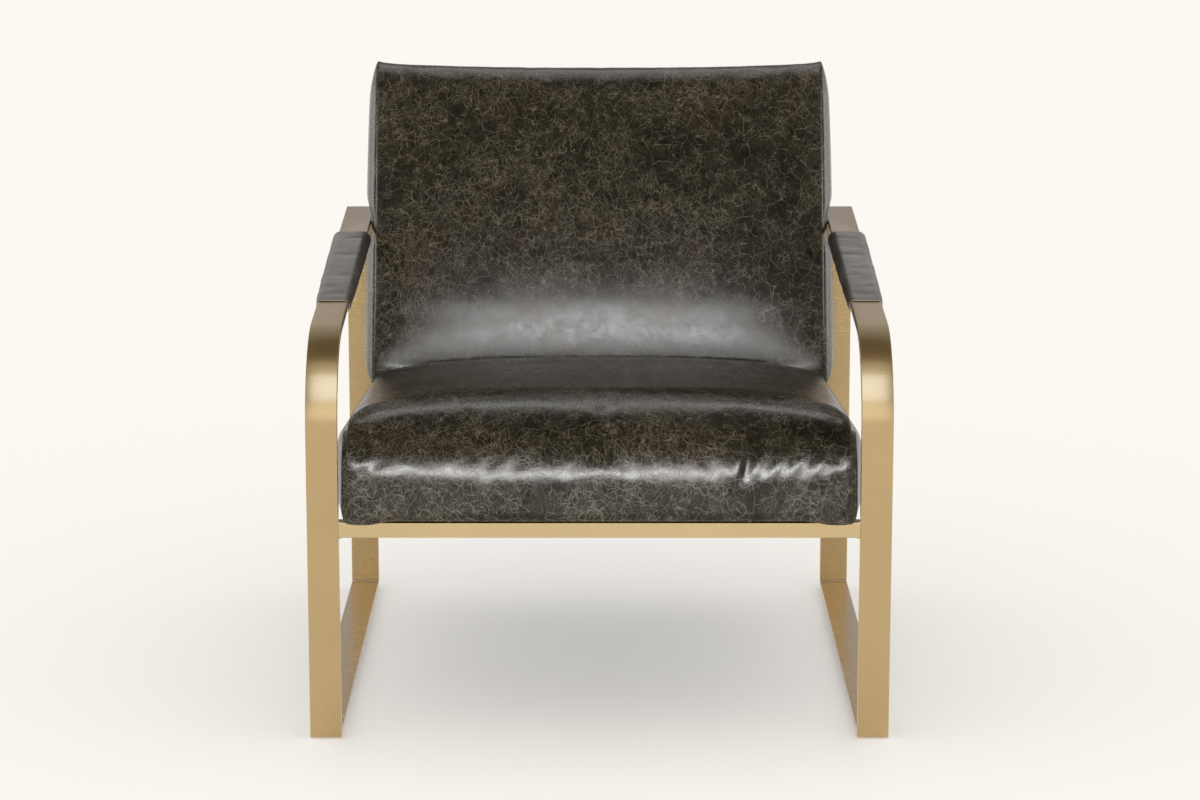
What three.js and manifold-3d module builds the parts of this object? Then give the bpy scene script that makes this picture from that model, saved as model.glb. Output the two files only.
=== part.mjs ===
// Lounge armchair: two side frames of bent flat bar in a brass finish, joined by three crossbars,
// with a leather seat cushion, a reclined leather back cushion and leather sleeves round the arms.
// Millimetres. +X is to the right seen from the front, +Y runs to the rear, +Z is up.
import * as THREE from 'three';
import { mergeVertices } from 'three/addons/utils/BufferGeometryUtils.js';
import Module from 'manifold-3d';

const wasm = await Module();
wasm.setup();

// Side frames
const frameWidth = 702;
const sideDepth = 715;
const barWidth = 38;
const barThickness = 9.5;
const barEdgeRound = 0.8;
const armRearHeight = 547;
const armSlope = THREE.MathUtils.degToRad(5);
const bendOuterRadius = 116;
const bendSegments = 12;
const edgeSegments = 2;

// Floor glides
const glideThickness = 2;
const glideRadius = 10;
const glideInset = 35;
const glideSides = 32;

// Crossbars, square tube
const crossbarSize = 19;
const crossbarWall = 1.6;
const crossbarRound = 1.5;
const frontCrossbarTop = 270.5;
const backCrossbarDrop = 69;

// Clearances: between touching pieces, between foam and leather, and how far a cut runs past the
// piece it cuts
const restGap = 0.3;
const foamClearance = 0.7;
const cutOverrun = 5;

// Leather and the tilts of the two cushions
const leatherThickness = 1.6;
const seatTilt = THREE.MathUtils.degToRad(5.5);
const backRecline = THREE.MathUtils.degToRad(21);

// Both cushions: the seams' distance from the bars beside them, and how far the side panels swell
// past the seams, between the bars of the frame and where the back cushion stands clear above the arms
const seamInset = 9;
const sidePanelBulge = 8.5;
const freePanelBulge = 16;
const bulgeRise = 44;
const bulgeTaper = 60;
const leastRound = 2;
const seamGap = 0.3;
const turnUnder = 26;

// Seat cushion
const seatSideHeight = 107;
const seatCrown = 42;
const seatOverhang = 6;
const seatFrontCrown = 8;
const seatNoseStart = 66;
const seatNoseDrop = 26;
const seatNoseDepth = 34;
const seatNoseGrowth = 92;
const seatRearRound = 16;
const seatCornerRound = 8;
const creaseReach = 14;
const creaseFoot = 4;
const creaseDropShare = 0.4;

// Back cushion
const backThickness = 115;
const backHeight = 458;
const backTopDip = 9;
const backCrown = 21;
const backCrownStart = 48;
const backTopFrontRound = 28;
const backTopRearRound = 20;
const backCornerRound = 8;
const backPanelSeam = 6;

// Wooden frames, corner blocks and webbing inside the cushions
const railThickness = 24;
const seatRailHeight = 42;
const backRailHeight = 50;
const backPostWidth = 50;
const seatFrontPadding = 8;
const seatRearPadding = 8;
const sidePadding = 8;
const backBottomPadding = 12;
const backTopPadding = 28;
const cornerBlockLeg = 48;
const strapWidth = 50;
const strapThickness = 2;
const seatStrapCount = 5;
const backStrapCount = 4;
const dustCoverThickness = 1;
const dustCoverMargin = 22;

// Bolts, reached through a hole in the outer wall of the crossbar
const boltRadius = 3;
const boltLength = 28;
const accessRadius = 7;
const boltHeadRadius = 5.8;
const boltHeadHeight = 4;
const boltSpread = 180;
const boltSides = 20;
const hexSides = 6;

// Arm sleeves: a pad and a leather sleeve round each arm, thinner towards the front
const sleeveStart = 208;
const sleeveRearInset = 168;
const padFrontThickness = 0.6;
const padRearThickness = 3.5;

// How finely the outside and the inside of a cushion are divided, and the back cushion's two faces
const outerSegments = 4;
const innerSegments = 2;
const backFaceSegments = 12;

// Shape of a crown from its centre to its edge: full over most of the width, steep at the seam
const crownFlatShare = 2.5;
const crownSteepShare = 0.32;
const crownLeanShare = 0.7;

// Side panels: how far in from the seam each ring lies, and the share of the bulge it has reached
const panelRingInsets = [3, 10, 24];
const panelRingShares = [0.45, 0.8, 0.97];

// Values worked out from the driving dimensions
const barCentre = (frameWidth - barWidth) / 2;
const innerHalfWidth = frameWidth / 2 - barWidth;
const seamHalfWidth = innerHalfWidth - seamInset;
const runnerTop = glideThickness + barThickness;
const armTopAtFront = armRearHeight - sideDepth * Math.tan(armSlope);
const rearBarFront = sideDepth - crossbarSize;
const liningInset = leatherThickness + restGap;
const foamInset = leatherThickness + foamClearance;
const seatOriginHeight = frontCrossbarTop + crossbarSize * Math.tan(seatTilt) + restGap / Math.cos(seatTilt);
const seatRailMiddle = liningInset + seatRailHeight / 2;
const seatRailTop = liningInset + seatRailHeight;
const rearBarReach = (seatRailMiddle + crossbarSize / 2) * Math.sin(seatTilt);
const seatDepth = (rearBarFront - restGap - rearBarReach) / Math.cos(seatTilt);
const rearCrossbarMiddle = seatOriginHeight - seatDepth * Math.sin(seatTilt)
  + seatRailMiddle * Math.cos(seatTilt);
const creaseLean = backRecline - seatTilt;

// The back cushion stands on the seat's shelf where its rear face rests on the back crossbar
const backCrossbarTop = armRearHeight - backCrossbarDrop;
const shelfHeight = seatSideHeight + restGap;
const shelfToBar = (rearBarFront - shelfHeight * Math.sin(seatTilt)) * Math.cos(backRecline)
  - (backCrossbarTop - seatOriginHeight - shelfHeight * Math.cos(seatTilt)) * Math.sin(backRecline);
const seatClearDepth = (shelfToBar - backThickness - restGap) / Math.cos(creaseLean);

// The wooden frames follow the cushions round them
const railHalfWidth = seamHalfWidth - liningInset - sidePadding;
const seatRailFront = -seatOverhang + seatFrontPadding;
const seatRailRear = seatDepth - liningInset - seatRearPadding;
const backRailRear = backThickness - liningInset;
const backRailFront = backRailRear - railThickness;
const backFrameBottom = backThickness * Math.tan(creaseLean) + backBottomPadding;
const backFrameTop = backHeight - backTopDip - backTopPadding;

// Materials
const finish = (color, roughness, metalness) => () => (
  new THREE.MeshStandardMaterial({ color, roughness, metalness })
);
const brass = finish(0xc8aa7a, 0.3, 1);
const leather = finish(0x40392d, 0.36, 0);
const armLeather = finish(0x5d564c, 0.5, 0);
const wood = finish(0xb58a5b, 0.7, 0);
const foam = finish(0xe6dcc0, 0.95, 0);
const webbing = finish(0x2b2824, 0.9, 0);
const dustCloth = finish(0x17171a, 0.95, 0);
const nylon = finish(0x1d1d1f, 0.6, 0);
const zinc = finish(0xb9bcc0, 0.35, 1);

// Groups: the chair stands unturned, and each tilted unit has its own turned group
const chair = new THREE.Group();
const seatUnit = new THREE.Group();
seatUnit.position.set(0, 0, seatOriginHeight);
seatUnit.rotation.x = -seatTilt;
const backUnit = new THREE.Group();
backUnit.position.copy(seatPoint(seatClearDepth, shelfHeight));
backUnit.rotation.x = -backRecline;
chair.add(seatUnit, backUnit);
for (const unit of [seatUnit, backUnit]) unit.updateMatrix();

const backCrossbarMiddle = backCrossbarTop - crossbarSize / 2;
const frontCrossbarMiddle = frontCrossbarTop - crossbarSize / 2;

// Where the arms end beside the back cushion, as a height in the back unit
const armClearHeight = (sideDepth - backUnit.position.y) * Math.sin(backRecline)
  + (armRearHeight + restGap - backUnit.position.z) * Math.cos(backRecline);

// A point of the seat's own plane, given along and above it, as a place on the chair
function seatPoint(along, above) {
  const y = along * Math.cos(seatTilt) + above * Math.sin(seatTilt);
  const z = seatOriginHeight - along * Math.sin(seatTilt) + above * Math.cos(seatTilt);
  return new THREE.Vector3(0, y, z);
}

function addPiece(parent, name, geometry, material) {
  const mesh = new THREE.Mesh(geometry, material());
  mesh.name = name;
  parent.add(mesh);
  return mesh;
}

// Closed mesh to solid and back, for cuts and joins
function toSolid(geometry) {
  const bare = geometry.clone();
  bare.deleteAttribute('normal');
  bare.deleteAttribute('uv');
  const merged = mergeVertices(bare);
  const vertProperties = new Float32Array(merged.attributes.position.array);
  const triVerts = new Uint32Array(merged.index.array);
  return new wasm.Manifold(new wasm.Mesh({ numProp: 3, vertProperties, triVerts }));
}

function toGeometry(solid) {
  const mesh = solid.getMesh();
  const geometry = new THREE.BufferGeometry();
  geometry.setAttribute('position', new THREE.BufferAttribute(new Float32Array(mesh.vertProperties), 3));
  geometry.setIndex(new THREE.BufferAttribute(new Uint32Array(mesh.triVerts), 1));
  geometry.computeVertexNormals();
  return geometry;
}

function cut(geometry, cutters) {
  return toGeometry(cutters.reduce((rest, cutter) => rest.subtract(toSolid(cutter)), toSolid(geometry)));
}

function join(first, second) {
  return toGeometry(toSolid(first).add(toSolid(second)));
}

function keepInside(geometry, block) {
  return toGeometry(toSolid(geometry).intersect(toSolid(block)));
}

// A box from its lowest to its highest corner
function block(x0, x1, y0, y1, z0, z1) {
  const geometry = new THREE.BoxGeometry(x1 - x0, y1 - y0, z1 - z0);
  return geometry.translate((x0 + x1) / 2, (y0 + y1) / 2, (z0 + z1) / 2);
}

// An outline in the side view, (y, z), carried across the chair along X, with rounded edges
function extrudeAcross(outline, width, round) {
  const geometry = new THREE.ExtrudeGeometry(outline, {
    depth: width - 2 * round,
    bevelEnabled: round > 0,
    bevelThickness: round,
    bevelSize: round,
    bevelOffset: -round,
    bevelSegments: edgeSegments,
    curveSegments: bendSegments,
  });
  geometry.translate(0, 0, round - width / 2);
  const alongY = new THREE.Vector3(0, 1, 0);
  const alongZ = new THREE.Vector3(0, 0, 1);
  const alongX = new THREE.Vector3(1, 0, 0);
  return geometry.applyMatrix4(new THREE.Matrix4().makeBasis(alongY, alongZ, alongX));
}

// A closed skin over rings of points, each with the same number of points. The first and the last
// ring join each other, unless there is a way to close each of them.
function skin(rings, close) {
  const size = rings[0].length;
  const positions = rings.flat().flatMap((point) => [point.x, point.y, point.z]);
  const index = [];
  const bands = close ? rings.length - 1 : rings.length;
  for (let band = 0; band < bands; band += 1) {
    const here = band * size;
    const next = ((band + 1) % rings.length) * size;
    for (let i = 0; i < size; i += 1) {
      const j = (i + 1) % size;
      index.push(here + i, next + i, next + j, here + i, next + j, here + j);
    }
  }
  if (close) {
    index.push(...close(rings[0], 0, positions));
    index.push(...close(rings.at(-1), (rings.length - 1) * size, positions).reverse());
  }
  return faceOut(positions, index);
}

// Two ways to close a ring: a fan from its middle, or rungs between its two matching halves
function fanOver(ring, start, positions) {
  const middle = ring.reduce((sum, point) => sum.add(point), new THREE.Vector3()).divideScalar(ring.length);
  const centre = positions.length / 3;
  positions.push(middle.x, middle.y, middle.z);
  return ring.flatMap((_, i) => [centre, start + i, start + (i + 1) % ring.length]);
}

function rungsOver(ring, start) {
  const triangles = [];
  for (let i = 0; i < ring.length / 2 - 1; i += 1) {
    const j = ring.length - 1 - i;
    triangles.push(start + i, start + i + 1, start + j - 1, start + i, start + j - 1, start + j);
  }
  return triangles;
}

// The same triangles, turned over if they enclose a negative volume
function faceOut(positions, index) {
  const corner = (i) => new THREE.Vector3().fromArray(positions, index[i] * 3);
  let volume = 0;
  for (let i = 0; i < index.length; i += 3) {
    volume += corner(i).dot(corner(i + 1).cross(corner(i + 2)));
  }
  const geometry = new THREE.BufferGeometry();
  geometry.setAttribute('position', new THREE.Float32BufferAttribute(positions, 3));
  geometry.setIndex(volume < 0 ? index.toReversed() : index);
  geometry.computeVertexNormals();
  return geometry;
}

// Points of a round corner of an outline, reaching the given length back along both sides
function roundCorner(before, corner, after, reach, steps) {
  const start = corner.clone().add(before.clone().sub(corner).setLength(reach));
  const end = corner.clone().add(after.clone().sub(corner).setLength(reach));
  return new THREE.QuadraticBezierCurve(start, corner, end).getPoints(steps);
}

// Points of an elliptical arc between two angles
function arcPoints(centreX, centreY, radiusX, radiusY, from, to, steps) {
  const arc = new THREE.EllipseCurve(centreX, centreY, radiusX, radiusY, from, to, to < from);
  return arc.getPoints(steps);
}

function at(across, up) {
  return new THREE.Vector2(across, up);
}

// Side frames

function armBarOutline() {
  const centreY = bendOuterRadius;
  const centreZ = armTopAtFront + bendOuterRadius * Math.tan(armSlope) - bendOuterRadius / Math.cos(armSlope);
  const armAngle = Math.PI / 2 + armSlope;
  const outline = new THREE.Shape();
  outline.moveTo(barThickness, glideThickness);
  outline.lineTo(0, glideThickness);
  outline.absarc(centreY, centreZ, bendOuterRadius, Math.PI, armAngle, true);
  outline.lineTo(sideDepth, armRearHeight);
  outline.lineTo(sideDepth, armRearHeight - barThickness / Math.cos(armSlope));
  outline.absarc(centreY, centreZ, bendOuterRadius - barThickness, armAngle, Math.PI, false);
  return outline;
}

function outlineOf(corners) {
  return new THREE.Shape(corners.map(([y, z]) => at(y, z)));
}

function armUnderside(y) {
  return armTopAtFront + y * Math.tan(armSlope) - barThickness / Math.cos(armSlope) - restGap;
}

function addSideFrame(side, x) {
  const rearLegFront = sideDepth - barThickness;
  const rearLegOutline = outlineOf([
    [rearLegFront, runnerTop],
    [sideDepth, runnerTop],
    [sideDepth, armUnderside(sideDepth)],
    [rearLegFront, armUnderside(rearLegFront)],
  ]);
  const runnerOutline = outlineOf([
    [barThickness, glideThickness],
    [sideDepth, glideThickness],
    [sideDepth, runnerTop],
    [barThickness, runnerTop],
  ]);
  const outlines = {
    arm_bar: armBarOutline(),
    rear_leg: rearLegOutline,
    floor_runner: runnerOutline,
  };
  for (const [name, outline] of Object.entries(outlines)) {
    const bar = addPiece(chair, `${side}_${name}`, extrudeAcross(outline, barWidth, barEdgeRound), brass);
    bar.position.x = x;
  }
}

function addGlide(name, x, y) {
  const disc = new THREE.CylinderGeometry(glideRadius, glideRadius, glideThickness, glideSides);
  disc.rotateX(Math.PI / 2);
  const glide = addPiece(chair, name, disc, nylon);
  glide.position.set(x, y, glideThickness / 2);
}

// Crossbars

function squareOutline(halfSize, round) {
  const outline = new THREE.Shape();
  const flat = halfSize - round;
  outline.absarc(flat, flat, round, 0, Math.PI / 2, false);
  outline.absarc(-flat, flat, round, Math.PI / 2, Math.PI, false);
  outline.absarc(-flat, -flat, round, Math.PI, Math.PI * 1.5, false);
  outline.absarc(flat, -flat, round, Math.PI * 1.5, Math.PI * 2, false);
  return outline;
}

function tubeGeometry() {
  const outline = squareOutline(crossbarSize / 2, crossbarRound);
  const boreHalf = crossbarSize / 2 - crossbarWall;
  const bore = [[-boreHalf, -boreHalf], [-boreHalf, boreHalf], [boreHalf, boreHalf], [boreHalf, -boreHalf]];
  outline.holes.push(new THREE.Path(bore.map(([y, z]) => at(y, z))));
  return new THREE.ExtrudeGeometry(outline, {
    depth: 2 * innerHalfWidth,
    bevelEnabled: false,
    curveSegments: edgeSegments,
  }).translate(0, 0, -innerHalfWidth).rotateY(Math.PI / 2);
}

function addCrossbar(name, y, z) {
  const tube = tubeGeometry().translate(0, y, z);
  addPiece(chair, name, cut(tube, [...boltHoles(name), ...accessHoles(name)]), brass);
}

// Bolts: each head bears on the inside of the crossbar wall that faces the wooden frame

const headSeat = frontCrossbarTop - crossbarWall;
const rearHeadSeat = rearBarFront + crossbarWall;
const boltPlaces = [
  { name: 'seat_front_bolt', bar: 'front_crossbar', y: crossbarSize / 2, z: headSeat },
  { name: 'seat_rear_bolt', bar: 'rear_crossbar', y: rearHeadSeat, z: rearCrossbarMiddle },
  { name: 'back_bolt', bar: 'back_crossbar', y: rearHeadSeat, z: backCrossbarMiddle },
];

// Upright under the front crossbar, and lying forwards behind the two rear ones
function turnBolt(geometry, place) {
  return place.bar === 'front_crossbar' ? geometry : geometry.rotateX(Math.PI / 2);
}

function boltGeometry() {
  const head = new THREE.CylinderGeometry(boltHeadRadius, boltHeadRadius, boltHeadHeight, hexSides);
  head.rotateX(Math.PI / 2).translate(0, 0, -boltHeadHeight / 2 - restGap);
  const shankLength = boltLength + boltHeadHeight / 2;
  const shank = new THREE.CylinderGeometry(boltRadius, boltRadius, shankLength, boltSides);
  shank.rotateX(Math.PI / 2).translate(0, 0, boltLength - shankLength / 2);
  return join(head, shank);
}

// A round cutter along a pair of bolts, from one distance to another past the seat of the head
function holePair(bar, radius, from, to) {
  const place = boltPlaces.find((entry) => entry.bar === bar);
  return [-boltSpread, boltSpread].map((x) => {
    const hole = new THREE.CylinderGeometry(radius, radius, to - from, boltSides);
    hole.rotateX(Math.PI / 2).translate(0, 0, (from + to) / 2);
    return turnBolt(hole, place).translate(x, place.y, place.z);
  });
}

function boltHoles(bar) {
  return holePair(bar, boltRadius + restGap, -cutOverrun, boltLength + restGap);
}

function accessHoles(bar) {
  return holePair(bar, accessRadius, -crossbarSize, -cutOverrun);
}

// The same holes, seen from inside a turned unit
function boltHolesIn(unit, bar) {
  const toUnit = unit.matrix.clone().invert();
  return boltHoles(bar).map((hole) => hole.applyMatrix4(toUnit));
}

function addBolts() {
  for (const place of boltPlaces) {
    for (const [side, x] of [['left', -boltSpread], ['right', boltSpread]]) {
      const bolt = addPiece(chair, `${place.name}_${side}`, turnBolt(boltGeometry(), place), zinc);
      bolt.position.set(x, place.y, place.z);
    }
  }
}

// Cushion shapes

function crownAt(share) {
  return (1 - Math.abs(share) ** crownFlatShare) ** crownSteepShare;
}

// Side view of the seat cushion: round nose, crown, the crease where the back cushion stands,
// and the level shelf under the back cushion. Points are (along the seat, above its underside).
function seatProfile(crown, inset, detail) {
  const front = inset - seatOverhang - seatFrontCrown * crown;
  const rear = seatDepth - inset;
  const base = inset;
  const top = seatSideHeight + seatCrown * crown - inset;
  const shelf = seatSideHeight - inset;
  const noseDepth = seatNoseDepth + seatNoseGrowth * crown - inset;
  const noseStart = seatNoseStart - seatNoseDrop * crown;
  const bottomReach = Math.max(seatCornerRound - inset, leastRound);
  const rearReach = Math.max(seatRearRound - inset, leastRound);
  const planeAt = (height) => seatClearDepth - (restGap + inset) / Math.cos(creaseLean)
    + (height - seatSideHeight - restGap) * Math.tan(creaseLean);
  const drop = (top - shelf) * creaseDropShare;
  const creaseX = planeAt(top - drop) - creaseReach - creaseFoot * (1 - crown);
  const flat = [];
  for (let i = 1; i < detail; i += 1) {
    flat.push(at(THREE.MathUtils.lerp(front + noseDepth, creaseX, i / detail), top));
  }
  return [
    ...roundCorner(at(rear, base), at(front, base), at(front, noseStart), bottomReach, detail / 2),
    ...arcPoints(front + noseDepth, noseStart, noseDepth, top - noseStart, Math.PI, Math.PI / 2, 2 * detail),
    ...flat,
    ...arcPoints(creaseX, top - drop, creaseReach, drop, Math.PI / 2, 0, detail / 2),
    at(planeAt(shelf), shelf),
    ...roundCorner(at(front, shelf), at(rear, shelf), at(rear, base), rearReach, detail),
    ...roundCorner(at(rear, shelf), at(rear, base), at(front, base), bottomReach, detail / 2),
  ];
}

// Side view of the back cushion. Points are (rearwards through it, up along it). Its foot is cut
// to the slope of the seat that it stands on.
function backProfile(crown, inset, detail) {
  const rear = backThickness - inset;
  const top = backHeight - backTopDip * crown - inset;
  const foot = (across) => across * Math.tan(creaseLean) + inset;
  const cornerReach = Math.max(backCornerRound - inset, leastRound);
  const frontReach = Math.max(backTopFrontRound - inset, leastRound);
  const rearReach = Math.max(backTopRearRound - inset, leastRound);
  const swell = (height) => {
    const share = THREE.MathUtils.clamp((height - backCrownStart) / (top - backCrownStart), 0, 1);
    return backCrown * crown * Math.sin(Math.PI * share ** crownLeanShare);
  };
  const faceTop = backHeight - backTopDip * crown - backTopFrontRound;
  const heights = Array.from({ length: backFaceSegments }, (_, i) => (
    THREE.MathUtils.lerp(backCrownStart, faceTop, i / backFaceSegments)
  ));
  const front = heights.map((height) => at(inset - swell(height), height));
  const behind = heights.map((height) => at(rear, height)).reverse();
  return [
    ...roundCorner(at(rear, foot(rear)), at(inset, foot(inset)), at(inset, top), cornerReach, detail / 2),
    ...front,
    ...roundCorner(front.at(-1), at(inset, top), at(rear, top), frontReach, detail),
    ...roundCorner(at(inset, top), at(rear, top), at(rear, foot(rear)), rearReach, detail),
    ...behind,
    ...roundCorner(at(rear, top), at(rear, foot(rear)), at(inset, foot(inset)), cornerReach, detail / 2),
  ];
}

// How far the side panels of each cushion swell at a height in its own unit
const seatBulge = () => sidePanelBulge;
function backBulge(height) {
  const free = THREE.MathUtils.smoothstep(height, armClearHeight, armClearHeight + bulgeRise);
  const belowTop = THREE.MathUtils.smoothstep(backHeight - height, 0, bulgeTaper);
  return THREE.MathUtils.lerp(sidePanelBulge, freePanelBulge, free) * belowTop;
}

const seatShape = { profile: seatProfile, bulge: seatBulge, close: fanOver };
const backShape = { profile: backProfile, bulge: backBulge, close: rungsOver };

// A whole cushion, or its inside at the given inset: the profile swept from seam to seam with its
// crown, and closed at both ends by the swelling side panels.
function cushion(shape, inset, detail) {
  const half = seamHalfWidth - inset;
  const ring = (x, crown, extraInset) => shape.profile(crown, inset + extraInset, detail)
    .map((point) => new THREE.Vector3(x, point.x, point.y));
  const panelRing = (side, extraInset, share) => ring(side * half, 0, extraInset)
    .map((point) => point.setX(point.x + side * share * shape.bulge(point.z)));
  const steps = 3 * detail + 2;
  const middle = [];
  for (let i = 0; i <= steps; i += 1) {
    const share = Math.sin((i / steps - 1 / 2) * Math.PI);
    const crown = i === 0 || i === steps ? 0 : crownAt(share);
    middle.push(ring(half * share, crown, 0));
  }
  const panel = (side) => panelRingInsets.map((extra, i) => panelRing(side, extra, panelRingShares[i]));
  return skin([...panel(-1).reverse(), ...middle, ...panel(1)], shape.close);
}

// The leather of a cushion, before it is parted at its seams
function cover(shape, windows) {
  const inside = cushion(shape, leatherThickness, innerSegments);
  return cut(cushion(shape, 0, outerSegments), [inside, ...windows]);
}

// Blocks that part a cover at its two side seams
const partingReach = frameWidth + sideDepth + armRearHeight;
const seamInner = seamHalfWidth - seamGap / 2;
const seamOuter = seamHalfWidth + seamGap / 2;

function betweenSeams() {
  return block(-seamInner, seamInner, -partingReach, partingReach, -partingReach, partingReach);
}

function outsideSeam(side) {
  const edges = [side * seamOuter, side * frameWidth].sort((a, b) => a - b);
  return block(edges[0], edges[1], -partingReach, partingReach, -partingReach, partingReach);
}

// Seat unit

function addSeatCover() {
  const windowHalf = seamHalfWidth - turnUnder;
  const window = block(
    -windowHalf, windowHalf,
    turnUnder - seatOverhang, seatDepth - turnUnder,
    -cutOverrun, leatherThickness + restGap,
  );
  const holes = [...boltHolesIn(seatUnit, 'front_crossbar'), ...boltHolesIn(seatUnit, 'rear_crossbar')];
  const whole = cover(seatShape, [window, ...holes]);
  addPiece(seatUnit, 'seat_cover', keepInside(whole, betweenSeams()), leather);
  addPiece(seatUnit, 'seat_side_panel_left', keepInside(whole, outsideSeam(-1)), leather);
  addPiece(seatUnit, 'seat_side_panel_right', keepInside(whole, outsideSeam(1)), leather);
}

function addSeatFoam() {
  const reach = railHalfWidth + restGap;
  const hollow = block(
    -reach, reach,
    seatRailFront - restGap, seatRailRear + restGap,
    -cutOverrun, seatRailTop + strapThickness + 2 * restGap,
  );
  const holes = boltHolesIn(seatUnit, 'rear_crossbar');
  const body = cushion(seatShape, foamInset, innerSegments);
  addPiece(seatUnit, 'seat_foam', cut(body, [hollow, ...holes]), foam);
}

function addSeatFrame() {
  const sideRailStart = seatRailFront + railThickness + restGap;
  const sideRailEnd = seatRailRear - railThickness - restGap;
  const rail = (x0, x1, y0, y1) => block(x0, x1, y0, y1, liningInset, seatRailTop);
  const front = rail(-railHalfWidth, railHalfWidth, seatRailFront, seatRailFront + railThickness);
  const rear = rail(-railHalfWidth, railHalfWidth, seatRailRear - railThickness, seatRailRear);
  addPiece(seatUnit, 'seat_front_rail', cut(front, boltHolesIn(seatUnit, 'front_crossbar')), wood);
  addPiece(seatUnit, 'seat_rear_rail', cut(rear, boltHolesIn(seatUnit, 'rear_crossbar')), wood);
  const railInner = railHalfWidth - railThickness;
  addPiece(seatUnit, 'seat_side_rail_left', rail(-railHalfWidth, -railInner, sideRailStart, sideRailEnd), wood);
  addPiece(seatUnit, 'seat_side_rail_right', rail(railInner, railHalfWidth, sideRailStart, sideRailEnd), wood);
  addCornerBlocks(railInner - restGap, sideRailStart, sideRailEnd);
}

// Glued triangular blocks in the four corners of the seat frame
function addCornerBlocks(x, frontY, rearY) {
  for (const [side, sign] of [['left', -1], ['right', 1]]) {
    for (const [end, y, turn] of [['front', frontY, 1], ['rear', rearY, -1]]) {
      const outline = new THREE.Shape([
        at(sign * x, y),
        at(sign * (x - cornerBlockLeg), y),
        at(sign * x, y + turn * cornerBlockLeg),
      ]);
      const prism = new THREE.ExtrudeGeometry(outline, { depth: seatRailHeight, bevelEnabled: false });
      prism.translate(0, 0, liningInset);
      addPiece(seatUnit, `seat_corner_block_${end}_${side}`, prism, wood);
    }
  }
}

// Places of straps that lie side by side between two ends, evenly apart
function strapPlaces(from, to, count) {
  const room = (to - from) / count;
  return Array.from({ length: count }, (_, i) => from + room * i + (room - strapWidth) / 2);
}

function addSeatStraps() {
  const from = seatRailFront + railThickness;
  const to = seatRailRear - railThickness;
  const base = seatRailTop + restGap;
  strapPlaces(from, to, seatStrapCount).forEach((y, i) => {
    const strap = block(-railHalfWidth, railHalfWidth, y, y + strapWidth, base, base + strapThickness);
    addPiece(seatUnit, `seat_strap_${i + 1}`, strap, webbing);
  });
}

function addDustCover() {
  const half = seamHalfWidth - dustCoverMargin;
  const cloth = block(
    -half, half,
    crossbarSize + cutOverrun, seatDepth - dustCoverMargin,
    -restGap - dustCoverThickness, -restGap,
  );
  addPiece(seatUnit, 'seat_dust_cover', cloth, dustCloth);
}

// Back unit

function addBackCover() {
  const seam = backThickness - backPanelSeam;
  const slab = (y0, y1) => block(-frameWidth, frameWidth, y0, y1, -partingReach, partingReach);
  const holes = boltHolesIn(backUnit, 'back_crossbar');
  const whole = cover(backShape, holes);
  const front = keepInside(whole, slab(-partingReach, seam - seamGap / 2));
  addPiece(backUnit, 'back_cover', keepInside(front, betweenSeams()), leather);
  addPiece(backUnit, 'back_side_panel_left', keepInside(front, outsideSeam(-1)), leather);
  addPiece(backUnit, 'back_side_panel_right', keepInside(front, outsideSeam(1)), leather);
  addPiece(backUnit, 'back_rear_panel', keepInside(whole, slab(seam + seamGap / 2, partingReach)), leather);
}

function addBackFoam() {
  const reach = railHalfWidth + restGap;
  const hollow = block(
    -reach, reach,
    backRailFront - strapThickness - 2 * restGap, backThickness + cutOverrun,
    backFrameBottom - restGap, backFrameTop + restGap,
  );
  addPiece(backUnit, 'back_foam', cut(cushion(backShape, foamInset, innerSegments), [hollow]), foam);
}

function addBackFrame() {
  const piece = (x0, x1, z0, z1) => block(x0, x1, backRailFront, backRailRear, z0, z1);
  const bottomTop = backFrameBottom + backRailHeight;
  const topBottom = backFrameTop - backRailHeight;
  const holes = boltHolesIn(backUnit, 'back_crossbar');
  const bottom = piece(-railHalfWidth, railHalfWidth, backFrameBottom, bottomTop);
  addPiece(backUnit, 'back_bottom_rail', cut(bottom, holes), wood);
  addPiece(backUnit, 'back_top_rail', piece(-railHalfWidth, railHalfWidth, topBottom, backFrameTop), wood);
  const inner = railHalfWidth - railThickness;
  const upright = (x0, x1) => piece(x0, x1, bottomTop + restGap, topBottom - restGap);
  addPiece(backUnit, 'back_stile_left', upright(-railHalfWidth, -inner), wood);
  addPiece(backUnit, 'back_stile_right', upright(inner, railHalfWidth), wood);
  for (const [side, x] of [['left', -boltSpread], ['right', boltSpread]]) {
    const post = upright(x - backPostWidth / 2, x + backPostWidth / 2);
    addPiece(backUnit, `back_post_${side}`, cut(post, holes), wood);
  }
}

function addBackStraps() {
  const from = backFrameBottom + backRailHeight;
  const to = backFrameTop - backRailHeight;
  const rear = backRailFront - restGap;
  strapPlaces(from, to, backStrapCount).forEach((z, i) => {
    const strap = block(-railHalfWidth, railHalfWidth, rear - strapThickness, rear, z, z + strapWidth);
    addPiece(backUnit, `back_strap_${i + 1}`, strap, webbing);
  });
}

// Arm sleeves

// One ring of a sleeve: a rounded rectangle that clears the bar by the given thickness
function sleeveRing(along, thickness) {
  const halfX = barWidth / 2 + thickness;
  const halfZ = barThickness / 2 + thickness;
  const corners = [at(halfX, halfZ), at(-halfX, halfZ), at(-halfX, -halfZ), at(halfX, -halfZ)];
  const reach = barEdgeRound + thickness;
  return corners.flatMap((corner, i) => (
    roundCorner(corners.at(i - 1), corner, corners[(i + 1) % corners.length], reach, edgeSegments)
  )).map((point) => new THREE.Vector3(point.x, along, point.y));
}

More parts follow.
